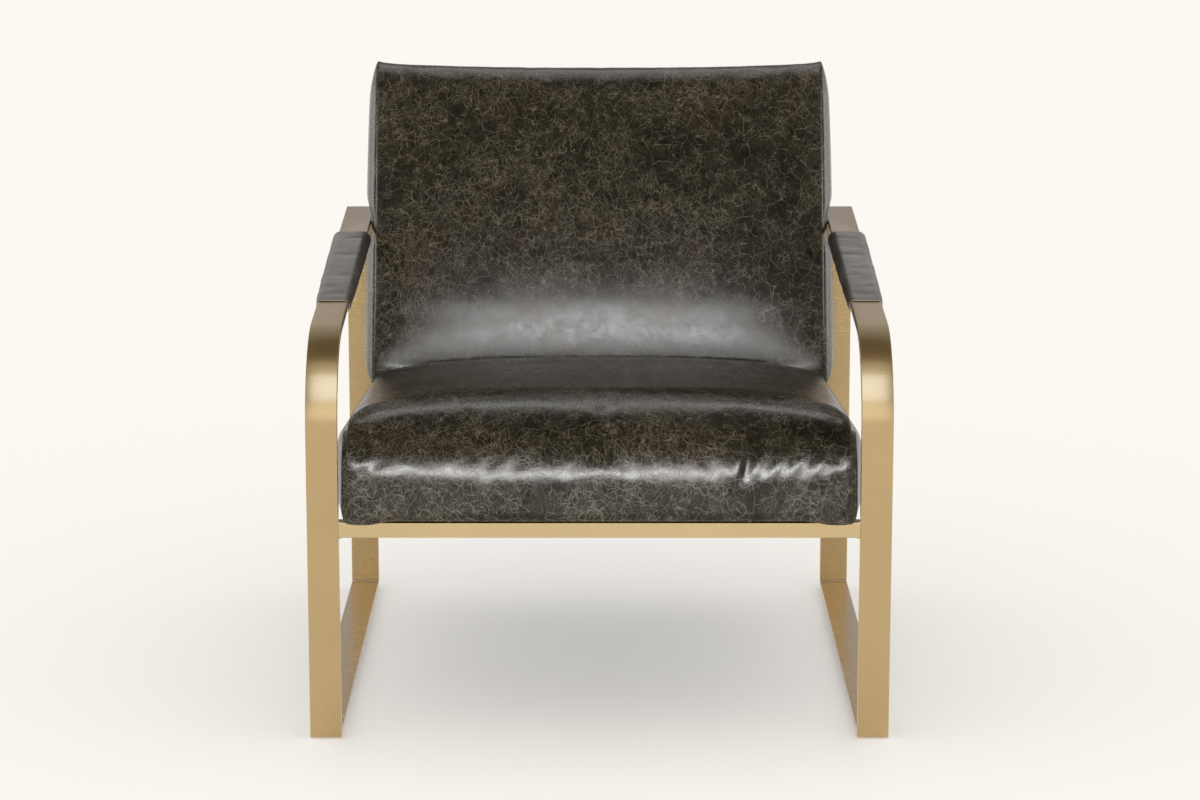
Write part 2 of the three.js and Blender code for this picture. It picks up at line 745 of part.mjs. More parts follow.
// A tube round the arm, from its inner to its outer thickness at the front and at the rear
function sleeve(innerFront, innerRear, wallFront, wallRear) {
  const start = sleeveStart / Math.cos(armSlope);
  const end = (sideDepth - sleeveRearInset) / Math.cos(armSlope);
  return skin([
    sleeveRing(start, innerFront + wallFront),
    sleeveRing(end, innerRear + wallRear),
    sleeveRing(end, innerRear),
    sleeveRing(start, innerFront),
  ]);
}

function addArmSleeve(side, x) {
  const arm = new THREE.Group();
  arm.position.set(x, 0, armTopAtFront - barThickness / 2 / Math.cos(armSlope));
  arm.rotation.x = armSlope;
  chair.add(arm);
  const pad = sleeve(restGap, restGap, padFrontThickness, padRearThickness);
  addPiece(arm, `${side}_arm_pad`, pad, foam);
  const innerFront = padFrontThickness + 2 * restGap;
  const innerRear = padRearThickness + 2 * restGap;
  const wrap = sleeve(innerFront, innerRear, leatherThickness, leatherThickness);
  addPiece(arm, `${side}_arm_sleeve`, wrap, armLeather);
}

// The whole chair
for (const [side, x] of [['left', -barCentre], ['right', barCentre]]) {
  addSideFrame(side, x);
  addArmSleeve(side, x);
  addGlide(`front_glide_${side}`, x, glideInset);
  addGlide(`rear_glide_${side}`, x, sideDepth - glideInset);
}
addCrossbar('front_crossbar', crossbarSize / 2, frontCrossbarMiddle);
addCrossbar('rear_crossbar', sideDepth - crossbarSize / 2, rearCrossbarMiddle);
addCrossbar('back_crossbar', sideDepth - crossbarSize / 2, backCrossbarMiddle);
addBolts();
addSeatFrame();
addSeatStraps();
addDustCover();
addSeatFoam();
addSeatCover();
addBackFrame();
addBackStraps();
addBackFoam();
addBackCover();

// The origin is on the floor under the middle of the chair's box
const bounds = new THREE.Box3().setFromObject(chair, true);
chair.position.y = -(bounds.min.y + bounds.max.y) / 2;

export default chair;
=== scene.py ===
# %% [markdown]
# # A lounge armchair of brass-finished flat bar and leather
#
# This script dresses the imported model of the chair. The legs, the runners, the cross bars and the wooden
# frames inside the cushions come from the model. They stay and only get a finish. The bent arm bars,
# the two big cushions and the leather round the arms are modelled here, because a bent bar has to be
# smooth and leather over foam has to look soft.

import math

import bmesh
import bpy
import numpy as np
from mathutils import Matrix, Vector, noise
from mathutils.bvhtree import BVHTree


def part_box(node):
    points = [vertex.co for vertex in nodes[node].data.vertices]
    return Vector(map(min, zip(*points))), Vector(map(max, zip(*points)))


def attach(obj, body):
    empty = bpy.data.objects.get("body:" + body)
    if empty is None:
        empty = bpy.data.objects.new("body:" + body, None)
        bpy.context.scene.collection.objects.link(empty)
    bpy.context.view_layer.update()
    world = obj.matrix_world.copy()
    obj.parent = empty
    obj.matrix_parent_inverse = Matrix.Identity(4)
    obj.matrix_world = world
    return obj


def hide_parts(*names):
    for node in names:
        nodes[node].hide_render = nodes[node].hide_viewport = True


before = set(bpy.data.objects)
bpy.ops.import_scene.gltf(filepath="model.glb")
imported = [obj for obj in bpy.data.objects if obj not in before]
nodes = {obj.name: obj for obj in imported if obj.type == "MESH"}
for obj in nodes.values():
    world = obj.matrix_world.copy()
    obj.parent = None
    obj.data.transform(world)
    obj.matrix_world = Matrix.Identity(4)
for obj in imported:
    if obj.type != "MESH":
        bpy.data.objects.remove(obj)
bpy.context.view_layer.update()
leg_front_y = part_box("left_arm_bar")[0].y

# %% [markdown]
# ## Camera and studio
# The chair was photographed straight from the front with a long lens, from above its back, looking
# slightly down. A long lens keeps the two sides of the frame nearly parallel.

# %% Camera
CAMERA_HEIGHT = 1.2362
CAMERA_DISTANCE = 3.9145
CAMERA_PITCH = 11.467
LENS = 100.83
SENSOR = 36.0
SHIFT_ACROSS = 0.0005
SHIFT_UP = -0.01475

camera_data = bpy.data.cameras.new("camera")
camera_data.lens = LENS
camera_data.sensor_width = SENSOR
camera_data.sensor_fit = "HORIZONTAL"
camera_data.shift_x = SHIFT_ACROSS
camera_data.shift_y = SHIFT_UP
camera = bpy.data.objects.new("camera", camera_data)
camera.location = (0, leg_front_y - CAMERA_DISTANCE, CAMERA_HEIGHT)
camera.rotation_euler = (math.radians(90 - CAMERA_PITCH), 0, 0)
bpy.context.scene.collection.objects.link(camera)
bpy.context.scene.camera = camera
bpy.context.scene.view_settings.view_transform = "Standard"
print("camera stands", round(camera.location.y, 3), "m from the middle, pitch", CAMERA_PITCH)

# %% [markdown]
# A wide pale floor carries the chair and throws light up under it. Brass and leather show mostly what
# they reflect, so the brightness round the chair is set by height and by side: bright near the floor and
# at both sides, and darker and warmer overhead. Soft boxes add the highlights.

# %% Signals: shader sums that read like plain sums


class Signal:
    """One socket of a node tree that can be added, subtracted and multiplied like a number."""

    def __init__(self, socket):
        self.socket = socket
        self.tree = socket.id_data

    def maths(self, operation, *others, clamp=False):
        node = self.tree.nodes.new("ShaderNodeMath")
        node.operation = operation
        node.use_clamp = clamp
        for place, value in enumerate((self, *others)):
            if isinstance(value, Signal):
                self.tree.links.new(value.socket, node.inputs[place])
            else:
                node.inputs[place].default_value = value
        return Signal(node.outputs[0])

    def flipped(self, operation, value):
        node = self.tree.nodes.new("ShaderNodeMath")
        node.operation = operation
        node.inputs[0].default_value = value
        self.tree.links.new(self.socket, node.inputs[1])
        return Signal(node.outputs[0])

    def __add__(self, other):
        return self.maths("ADD", other)

    __radd__ = __add__

    def __sub__(self, other):
        return self.maths("SUBTRACT", other)

    def __rsub__(self, value):
        return self.flipped("SUBTRACT", value)

    def __mul__(self, other):
        return self.maths("MULTIPLY", other)

    __rmul__ = __mul__

    def __pow__(self, other):
        return self.maths("POWER", other)

    def between(self, low, high):
        """0 below low, 1 above high, and an even rise in between."""
        return self.maths("SUBTRACT", low).maths("DIVIDE", high - low, clamp=True)


print("sums on sockets ready")

# %% The bench on which a node tree is wired


class Bench:
    """A node tree being wired: it makes any node from its type, settings and inputs."""

    def __init__(self, tree):
        self.tree = tree

    def node(self, kind, settings=None, **inputs):
        node = self.tree.nodes.new("ShaderNode" + kind)
        for name, value in (settings or {}).items():
            setattr(node, name, value)
        for name, value in inputs.items():
            self.feed(node.inputs[name.replace("_", " ")], value)
        return node

    def feed(self, socket, value):
        if isinstance(value, Signal):
            self.tree.links.new(value.socket, socket)
        else:
            socket.default_value = value

    def signal(self, node, output=0):
        return Signal(node.outputs[output])

    def noise(self, where, scale, detail=2.0, roughness=0.5, output=0):
        node = self.node("TexNoise", Vector=where, Scale=scale, Detail=detail, Roughness=roughness)
        return self.signal(node, output)

    def cells(self, where, scale, feature="F1", randomness=1.0):
        node = self.node(
            "TexVoronoi", {"feature": feature}, Vector=where, Scale=scale, Randomness=randomness
        )
        return self.signal(node, "Distance")

    def ramp(self, value, stops):
        """A colour ramp; stops are (place, colour) with a colour of three numbers or one."""
        node = self.node("ValToRGB", Fac=value)
        band = node.color_ramp
        while len(band.elements) < len(stops):
            band.elements.new(0.5)
        for element, (place, colour) in zip(band.elements, stops):
            colour = (colour,) * 3 if isinstance(colour, (int, float)) else colour
            element.position = place
            element.color = (*colour, 1)
        return self.signal(node)

    def blend(self, share, first, second, kind="MIX"):
        node = self.node("Mix", {"data_type": "RGBA", "blend_type": kind})
        for place, value in ((0, share), (6, first), (7, second)):
            if isinstance(value, tuple):
                value = (*value, 1)
            self.feed(node.inputs[place], value)
        return Signal(node.outputs[2])


print("bench ready")

# %% Studio light round the chair
world = bpy.data.worlds.new("studio")
bpy.context.scene.world = world
world.use_nodes = True
world.node_tree.nodes.clear()
studio = Bench(world.node_tree)
direction = studio.signal(studio.node("TexCoord"), "Generated")
parts = studio.node("SeparateXYZ", Vector=direction)
up = studio.signal(parts, "Z")
along = studio.signal(parts, "Y")
across = studio.signal(parts, "X")
front_light = studio.ramp(
    up,
    [
        (0.0, 0.83),
        (0.20, 0.82),
        (0.36, (0.53, 0.49, 0.43)),
        (0.52, (0.30, 0.25, 0.18)),
        (0.80, (0.27, 0.22, 0.145)),
        (0.995, (0.19, 0.155, 0.105)),
    ],
)
rear_light = studio.ramp(
    up,
    [
        (0.0, (0.50, 0.46, 0.43)),
        (0.36, (0.50, 0.46, 0.43)),
        (0.64, 0.42),
        (0.80, 0.34),
        (0.92, (0.17, 0.15, 0.11)),
        (1.0, (0.16, 0.135, 0.10)),
    ],
)
side_light = studio.ramp(up, [(0.0, 0.95), (0.35, 1.0), (0.60, 0.70), (0.85, 0.25)])
facing_rear = along.between(-0.12, 0.12)
facing_side = across.maths("ABSOLUTE").between(0.55, 0.90)
light = studio.blend(facing_rear, front_light, rear_light)
light = studio.blend(facing_side, light, side_light)
background = studio.node("Background", Color=light, Strength=1.0)
studio.node("OutputWorld", Surface=studio.signal(background))
print("studio light set from", len(world.node_tree.nodes), "nodes")

# %% Floor


def pale_floor_finish():
    material = bpy.data.materials.new("pale_floor")
    material.use_nodes = True
    shader = material.node_tree.nodes["Principled BSDF"]
    shader.inputs["Base Color"].default_value = (0.82, 0.81, 0.79, 1)
    shader.inputs["Roughness"].default_value = 0.9
    shader.inputs["Specular IOR Level"].default_value = 0.1
    return material


bpy.ops.mesh.primitive_plane_add(size=60, location=(0, 0, 0))
floor = bpy.context.object
floor.name = "studio_floor"
floor.data.materials.append(pale_floor_finish())
print("floor laid:", floor.name)

# %% [markdown]
# A lamp that lights everything would flood the leather where only the brass needs a highlight, so each
# soft box is flagged for one group of pieces. The pieces join their groups as they get their finishes.

# %% Groups of pieces and two kinds of lamp


def lit_group(name):
    """The pieces that a lamp is flagged for. A photographer would shade the others from it."""
    return bpy.data.collections.new(name)


brass_pieces = lit_group("brass_pieces")
seat_and_arms = lit_group("seat_and_arms")
arm_pieces = lit_group("arm_pieces")
back_pieces = lit_group("back_pieces")
floor_pieces = lit_group("floor_pieces")
floor_pieces.objects.link(floor)


def soft_box(name, place, target, width, height, power, group, colour=(1.0, 1.0, 1.0)):
    """A big soft box that makes only the highlights of one group of pieces."""
    data = bpy.data.lights.new(name, "AREA")
    data.shape = "RECTANGLE"
    data.size = width
    data.size_y = height
    data.energy = power
    data.color = colour
    item = bpy.data.objects.new(name, data)
    item.location = place
    aim = Vector(target) - Vector(place)
    item.rotation_euler = aim.to_track_quat("-Z", "Y").to_euler()
    item.visible_camera = False
    item.visible_diffuse = False
    item.light_linking.receiver_collection = group
    bpy.context.scene.collection.objects.link(item)


def wide_fill(name, towards, strength, spread, group):
    """A very wide soft light from all round, for the floor of a pale room."""
    data = bpy.data.lights.new(name, "SUN")
    data.energy = strength
    data.angle = math.radians(spread)
    item = bpy.data.objects.new(name, data)
    item.rotation_euler = Vector(towards).to_track_quat("-Z", "Y").to_euler()
    data.use_shadow = False
    item.visible_glossy = False
    item.light_linking.receiver_collection = group
    bpy.context.scene.collection.objects.link(item)


print("groups:", [group.name for group in (brass_pieces, seat_and_arms, arm_pieces, back_pieces)])

# %% Lamps
DAYLIGHT = (0.58, 0.71, 1.0)
SEAT_FRONT = (0, -0.35, 0.42)

wide_fill("room_fill", (0.0, 0.3, -1.0), 2.6, 120, floor_pieces)
soft_box("brass_box", (0, -2.75, 2.80), SEAT_FRONT, 2.6, 1.95, 40, brass_pieces, DAYLIGHT)
soft_box("brass_low_box", (0, -4.18, 1.59), SEAT_FRONT, 3.2, 1.5, 12, brass_pieces)
soft_box("brass_high_box", (0, -1.42, 3.22), SEAT_FRONT, 2.6, 1.1, 4.5, brass_pieces)
soft_box("seat_strip", (0, -4.6, 1.60), (0, 0, 0.4), 3.0, 0.42, 385, seat_and_arms)
soft_box("back_strip", (0, -4.6, 1.53), (0, 0.2, 0.5), 1.34, 0.34, 166, back_pieces)
soft_box("seat_top_box", (0, 1.50, 2.80), (0, -0.25, 0.42), 3.2, 0.34, 23, seat_and_arms)
soft_box("back_top_box", (0, 1.07, 2.84), (0, 0.39, 0.75), 1.5, 1.9, 25, back_pieces)
soft_box("arm_box", (0, 3.60, 1.50), (0, 0, 0.53), 4.0, 0.9, 8.0, arm_pieces)
for side_sign in (-1, 1):
    place = (side_sign * 2.6, 1.5, 0.85)
    soft_box("side_box", place, (side_sign * 0.3, 0, 0.6), 1.6, 1.2, 13, back_pieces)
print("lamps placed:", len(bpy.data.lights))

# %% [markdown]
# ## Finishes
# Every finish is worked out in the object's own coordinates in metres, so the grain has its real size on
# each piece. The brass is brushed flat bar under clear lacquer: warm where it mirrors the floor and
# the room, with a paler shine of the lacquer on top and very faint streaks. The tubes get a paler tone.

# %% A helper that opens a new finish


def open_finish(name):
    material = bpy.data.materials.new(name)
    material.use_nodes = True
    tree = material.node_tree
    shader = tree.nodes["Principled BSDF"]
    bench = Bench(tree)
    place = bench.signal(bench.node("TexCoord"), "Object")
    return material, bench, shader, place


def stretched(bench, place, scale):
    """The same coordinates, stretched: a small number draws the pattern out along that axis."""
    return bench.signal(bench.node("Mapping", Vector=place, Scale=scale))


def bump(bench, shader, height, depth):
    node = bench.node("Bump", Height=height, Distance=depth, Strength=1.0)
    bench.feed(shader.inputs["Normal"], bench.signal(node))


# %% Lacquered brass


def brass_finish(name="lacquered_brass", tone=(0.535, 0.383, 0.18), polish=0.27):
    material, bench, shader, place = open_finish(name)
    streaks = bench.noise(stretched(bench, place, (60, 900, 900)), 1.0, 3.0, 0.6)
    clouds = bench.noise(place, 7.0, 3.0, 0.55)
    specks = bench.noise(place, 420.0, 2.0, 0.6)
    dark_tone = tuple(value * 0.93 for value in tone)
    colour = bench.blend(clouds.between(0.35, 0.65), dark_tone, tone)
    spot = specks.between(0.68, 0.76) * 0.25
    colour = bench.blend(spot, colour, tuple(value * 0.6 for value in tone))
    bench.feed(shader.inputs["Base Color"], colour)
    bench.feed(
        shader.inputs["Roughness"], (streaks - 0.5) * 0.08 + (clouds - 0.5) * 0.08 + polish
    )
    shader.inputs["Metallic"].default_value = 1.0
    shader.inputs["Coat Weight"].default_value = 0.85
    shader.inputs["Coat Roughness"].default_value = 0.16
    shader.inputs["Coat IOR"].default_value = 1.5
    bump(bench, shader, streaks * 0.25 + clouds * 6.0, 0.000012)
    return material


brass = brass_finish()
tube_brass = brass_finish("lacquered_brass_tube", (0.66, 0.495, 0.255), 0.25)
weld_brass = brass_finish("weld_brass", (0.78, 0.62, 0.38), 0.22)
print("brass finishes made")

# %% [markdown]
# The leather of the cushions is a dark olive brown with a waxy crackle: fine pale cracks where
# the hide creases, browner clouds, and a small pebble grain that sparkles in the light. The hide has
# dark islands of about 20 mm. Between them it is worn paler by fine cracks, so fine warped cells are
# masked by a coarser noise. Long hair cracks are the edges of four coarser nets of warped cells, each
# shown only in places, and a few veins follow the level lines of a noise.

# %% Crackled leather


def swirled(bench, place, scale, reach, detail=3.0):
    """The coordinates pushed about by a noise; reach is how far, in metres."""
    swirl = bench.noise(place, scale, detail, 0.55, output="Color")
    node = bench.node("VectorMath", {"operation": "MULTIPLY_ADD"})
    bench.feed(node.inputs[0], swirl)
    node.inputs[1].default_value = (reach, reach, reach)
    bench.feed(node.inputs[2], place)
    return bench.signal(node)


def crack_lines(bench, place, scale, half_width, cover):
    """Thin lines between cells, shown where cover is 1. Widths are in metres."""
    edge = bench.cells(place, scale, "DISTANCE_TO_EDGE")
    line = 1.0 - edge.between(half_width * scale * 0.2, half_width * scale)
    return line * cover


def crackled_leather(name="crackled_leather"):
    material, bench, shader, place = open_finish(name)
    loose = swirled(bench, place, 14.0, 0.040, 4.0)
    bent = swirled(bench, loose, 70.0, 0.016, 4.0)
    turned = bench.signal(
        bench.node("Mapping", Vector=bent, Rotation=(0.6, 0.4, 0.9), Scale=(1.0, 0.7, 0.85))
    )
    frayed = swirled(bench, turned, 280.0, 0.0040)
    patches = bench.noise(place, 8.5, 4.0, 0.6)
    broken = bench.noise(place, 62.0, 3.0, 0.6)
    islands = bench.noise(bent, 40.0, 4.0, 0.65)
    near_edge = 1.0 - bench.cells(loose, 50.0, "DISTANCE_TO_EDGE").between(0.0, 0.22)
    worn_ground = (1.0 - islands.between(0.40, 0.60)) * 0.55
    worn_edges = near_edge**1.6 * patches.between(0.38, 0.6) * 0.45
    worn = worn_ground + worn_edges
    fine = (
        crack_lines(bench, frayed, 200.0, 0.00046, broken.between(0.36, 0.54)) * 0.8
        + crack_lines(bench, frayed, 390.0, 0.00036, broken.between(0.62, 0.44)) * 0.7
    )
    curved = swirled(bench, loose, 34.0, 0.012, 2.0)
    crossed = bench.signal(
        bench.node("Mapping", Vector=curved, Rotation=(0.9, 0.5, 1.7), Scale=(1.0, 0.62, 0.8))
    )
    hairs = (
        crack_lines(bench, curved, 58.0, 0.00028, broken.between(0.45, 0.58)) * 0.90
        + crack_lines(bench, crossed, 92.0, 0.00027, patches.between(0.42, 0.60)) * 0.80
        + crack_lines(bench, crossed, 33.0, 0.00028, broken.between(0.58, 0.46)) * 0.80
        + crack_lines(bench, turned, 135.0, 0.00028, broken.between(0.46, 0.60)) * 0.40
    )
    long_vein = bench.noise(bent, 36.0, 5.0, 0.62) - 0.5
    short_vein = bench.noise(frayed, 85.0, 3.0, 0.6) - 0.5
    threads = (
        (1.0 - long_vein.maths("ABSOLUTE").between(0.002, 0.012)) * broken.between(0.44, 0.58) * 0.8
        + (1.0 - short_vein.maths("ABSOLUTE").between(0.004, 0.020)) * patches.between(0.42, 0.60) * 0.45
    )
    all_lines = worn * (fine * 0.50 + 0.04) + hairs * 1.10 + threads * 0.80 + fine * 0.05
    cracks = all_lines.maths("MINIMUM", 1.0)
    clouds = bench.noise(place, 9.0, 5.0, 0.62)
    mottles = bench.noise(bent, 75.0, 4.0, 0.65)
    pebbles = bench.cells(place, 700.0, "SMOOTH_F1", 0.9)
    pores = bench.noise(place, 1500.0, 2.0, 0.6)
    dark, brown = (0.0125, 0.0098, 0.0038), (0.0330, 0.0215, 0.0100)
    olive, pale = (0.042, 0.035, 0.017), (0.300, 0.266, 0.200)
    colour = bench.blend(clouds.between(0.54, 0.74), dark, brown)
    colour = bench.blend(mottles.between(0.50, 0.76) * 0.38, colour, olive)
    colour = bench.blend(cracks * 0.74, colour, pale)
    bench.feed(shader.inputs["Base Color"], colour)
    bench.feed(
        shader.inputs["Roughness"],
        (clouds - 0.5) * 0.05 + (mottles - 0.5) * 0.08 + cracks * 0.10 + 0.225,
    )
    shader.inputs["Specular IOR Level"].default_value = 0.22
    height = pebbles * -1.0 + pores * 0.35 - cracks * 0.6
    bump(bench, shader, height, 0.00008)
    return material


cushion_leather = crackled_leather()
print("cushion leather made with", len(cushion_leather.node_tree.nodes), "nodes")

# %% [markdown]
# The arm sleeves are a smoother hide, grey brown and slightly waxy, with a fine grain and few cracks.
# Where the hide is cut, its raw edge shows a light tan.

# %% Arm leather, cut edges and thread


def smooth_leather(name="arm_leather"):
    material, bench, shader, place = open_finish(name)
    warped = swirled(bench, place, 60.0, 0.010)
    clouds = bench.noise(place, 18.0, 4.0, 0.6)
    creases = crack_lines(bench, warped, 190.0, 0.0003, clouds.between(0.45, 0.62))
    grain = bench.cells(place, 900.0, "SMOOTH_F1", 0.9)
    pores = bench.noise(place, 2100.0, 2.0, 0.6)
    colour = bench.blend(
        clouds.between(0.35, 0.68), (0.036, 0.031, 0.024), (0.064, 0.056, 0.045)
    )
    colour = bench.blend(creases * 0.5, colour, (0.13, 0.115, 0.09))
    bench.feed(shader.inputs["Base Color"], colour)
    bench.feed(shader.inputs["Roughness"], (clouds - 0.5) * 0.14 + creases * 0.1 + 0.33)
    shader.inputs["Specular IOR Level"].default_value = 0.8
    bump(bench, shader, grain * -0.8 + pores * 0.4 - creases, 0.00014)
    return material


def raw_edge_finish(name="raw_leather_edge"):
    material, bench, shader, place = open_finish(name)
    fibres = bench.noise(stretched(bench, place, (900, 900, 900)), 1.0, 3.0, 0.7)
    colour = bench.blend(fibres.between(0.3, 0.7), (0.46, 0.39, 0.30), (0.62, 0.55, 0.44))
    bench.feed(shader.inputs["Base Color"], colour)
    bench.feed(shader.inputs["Roughness"], (fibres - 0.5) * 0.2 + 0.7)
    bump(bench, shader, fibres, 0.0002)
    return material


def thread_finish(name="waxed_thread", tone=(0.115, 0.096, 0.068)):
    material, bench, shader, place = open_finish(name)
    twist = bench.node(
        "TexWave", {"wave_type": "BANDS", "bands_direction": "DIAGONAL"}, Vector=place, Scale=900.0
    )
    strands = bench.signal(twist)
    colour = bench.blend(strands, tuple(value * 0.6 for value in tone), tone)
    bench.feed(shader.inputs["Base Color"], colour)
    bench.feed(shader.inputs["Roughness"], strands * 0.1 + 0.5)
    bump(bench, shader, strands, 0.0001)
    return material


arm_leather = smooth_leather()
raw_edge = raw_edge_finish()
thread = thread_finish()
print("arm leather, cut edge and thread made")

# %% [markdown]
# Under the chair and inside the cushions are beech rails, jute webbing, a black dust cloth, steel bolts
# and felt-grey plastic glides. They are mostly hidden, but anyone who turns the chair over sees them.

# %% Wood, webbing, dust cloth, glides and bolts


def beech_finish(name="beech"):
    material, bench, shader, place = open_finish(name)
    rings = bench.noise(stretched(bench, place, (6, 70, 70)), 1.0, 4.0, 0.6)
    flecks = bench.noise(stretched(bench, place, (160, 1400, 1400)), 1.0, 2.0, 0.6)
    colour = bench.blend(rings.between(0.3, 0.7), (0.42, 0.26, 0.14), (0.58, 0.40, 0.24))
    colour = bench.blend(flecks.between(0.62, 0.75) * 0.5, colour, (0.25, 0.14, 0.07))
    bench.feed(shader.inputs["Base Color"], colour)
    bench.feed(shader.inputs["Roughness"], rings * 0.15 + 0.5)
    bump(bench, shader, rings + flecks, 0.0001)
    return material


# A Wave Texture of scale 1 repeats after this length
WAVE_REPEAT = 0.314


def woven_finish(name, dark, pale, pitch, roughness, depth):
    """A plain weave: two sets of waves that cross, for webbing and dust cloth."""
    material, bench, shader, place = open_finish(name)
    warp, weft = (
        bench.signal(
            bench.node("TexWave", {"bands_direction": axis}, Vector=place, Scale=WAVE_REPEAT / pitch)
        )
        for axis in ("X", "Y")
    )
    fuzz = bench.noise(place, 900.0, 3.0, 0.7)
    weave = warp * weft
    colour = bench.blend((weave + fuzz * 0.4).between(0.1, 1.1), dark, pale)
    bench.feed(shader.inputs["Base Color"], colour)
    bench.feed(shader.inputs["Roughness"], fuzz * 0.1 + roughness)
    bump(bench, shader, weave + fuzz * 0.3, depth)
    return material


def plain_finish(name, dark, pale, roughness, metallic=0.0, scale=300.0, depth=0.00005):
    """A moulded or turned surface: fine noise in its colour, shine and height."""
    material, bench, shader, place = open_finish(name)
    grain = bench.noise(place, scale, 3.0, 0.6)
    bench.feed(shader.inputs["Base Color"], bench.blend(grain.between(0.3, 0.7), dark, pale))
    bench.feed(shader.inputs["Roughness"], grain * 0.15 + roughness)
    shader.inputs["Metallic"].default_value = metallic
    bump(bench, shader, grain, depth)
    return material


beech = beech_finish()
webbing = woven_finish("jute_webbing", (0.16, 0.11, 0.06), (0.38, 0.29, 0.18), 0.0016, 0.75, 0.0003)
dust_cloth = woven_finish(
    "dust_cloth", (0.006, 0.006, 0.006), (0.022, 0.022, 0.021), 0.0007, 0.8, 0.0001
)
glide_plastic = plain_finish("glide_plastic", (0.05, 0.05, 0.05), (0.085, 0.083, 0.08), 0.55)
bolt_steel = plain_finish("bolt_steel", (0.42, 0.42, 0.41), (0.56, 0.56, 0.55), 0.3, 1.0)
print("inner finishes made")

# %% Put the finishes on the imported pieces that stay


def finish_for(node_name):
    words = set(node_name.split("_"))
    if "bolt" in words:
        return bolt_steel
    if "crossbar" in words:
        return tube_brass
    if words & {"leg", "runner", "bar"}:
        return brass
    if words & {"rail", "block", "stile", "post"}:
        return beech
    if "strap" in words:
        return webbing
    if "dust" in words:
        return dust_cloth
    if "glide" in words:
        return glide_plastic
    return cushion_leather


for node_name, item in nodes.items():
    finish = finish_for(node_name)
    for place in item.material_slots:
        place.material = finish
    if finish in (brass, tube_brass):
        brass_pieces.objects.link(item)
print("packed pieces finished:", len(nodes))

# %% [markdown]
# ## Arm bars
# Each arm is one flat bar, 38 by 9.5 mm, bent cold over a former: it rises from the runner, turns
# back over a bend of 116 mm radius and climbs 5 degrees to the rear leg. It is modelled as it is made:
# the bar's section at the foot, drawn up, spun round the bend, drawn back, and cut off upright.

# %% Modelling helpers


def clear_selection():
    if bpy.context.object and bpy.context.object.mode != "OBJECT":
        bpy.ops.object.mode_set(mode="OBJECT")
    bpy.ops.object.select_all(action="DESELECT")


def make_active(item):
    clear_selection()
    item.select_set(True)
    bpy.context.view_layer.objects.active = item


def new_primitive(kind, name, **settings):
    """A primitive put in place, its size and place moved into its mesh, ready to be worked on."""
    clear_selection()
    getattr(bpy.ops.mesh, f"primitive_{kind}_add")(**settings)
    item = bpy.context.object
    item.name = item.data.name = name
    bpy.ops.object.transform_apply(location=True, rotation=True, scale=True)
    return item


def bake_modifier(item, kind, **settings):
    make_active(item)
    modifier = item.modifiers.new(kind.lower(), kind)
    for name, value in settings.items():
        setattr(modifier, name, value)
    bpy.ops.object.modifier_apply(modifier=modifier.name)


def faces_out(item):
    make_active(item)
    bpy.ops.object.mode_set(mode="EDIT")
    bpy.ops.mesh.select_all(action="SELECT")
    bpy.ops.mesh.remove_doubles(threshold=0.000001)
    bpy.ops.mesh.normals_make_consistent(inside=False)
    bpy.ops.object.mode_set(mode="OBJECT")


def smooth_below(item, degrees):
    """Smooth shading that keeps every edge sharper than the angle."""
    make_active(item)
    bpy.ops.object.shade_smooth_by_angle(angle=math.radians(degrees))


def smooth_all(item):
    for polygon in item.data.polygons:
        polygon.use_smooth = True


def belongs(item, material, slot, *stands_for):
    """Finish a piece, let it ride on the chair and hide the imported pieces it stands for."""
    if not item.data.materials:
        item.data.materials.append(material)
    if slot == "brass_finish":
        brass_pieces.objects.link(item)
    elif "back" in item.name:
        back_pieces.objects.link(item)
    else:
        seat_and_arms.objects.link(item)
    if slot == "arm_leather":
        arm_pieces.objects.link(item)
    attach(item, "root")
    if stands_for:
        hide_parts(*stands_for)
    return item


# %% Bend the arm bars
BAR_WIDTH = 0.038
BAR_THICKNESS = 0.0095
BAR_EDGE_ROUND = 0.0008
BEND_RADIUS = 0.116
BEND_STEPS = 48
ARM_SLOPE = math.radians(5.0)
SAW_WASTE = 0.05
METAL_SHARP = 28
arm_top_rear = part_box("left_arm_bar")[1].z
arm_rear_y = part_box("left_arm_bar")[1].y
foot_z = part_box("left_arm_bar")[0].z
arm_length_y = arm_rear_y - leg_front_y
arm_top_front = arm_top_rear - arm_length_y * math.tan(ARM_SLOPE)
bend_centre_y = leg_front_y + BEND_RADIUS
bend_centre_z = (
    arm_top_front + BEND_RADIUS * math.tan(ARM_SLOPE) - BEND_RADIUS / math.cos(ARM_SLOPE)
)


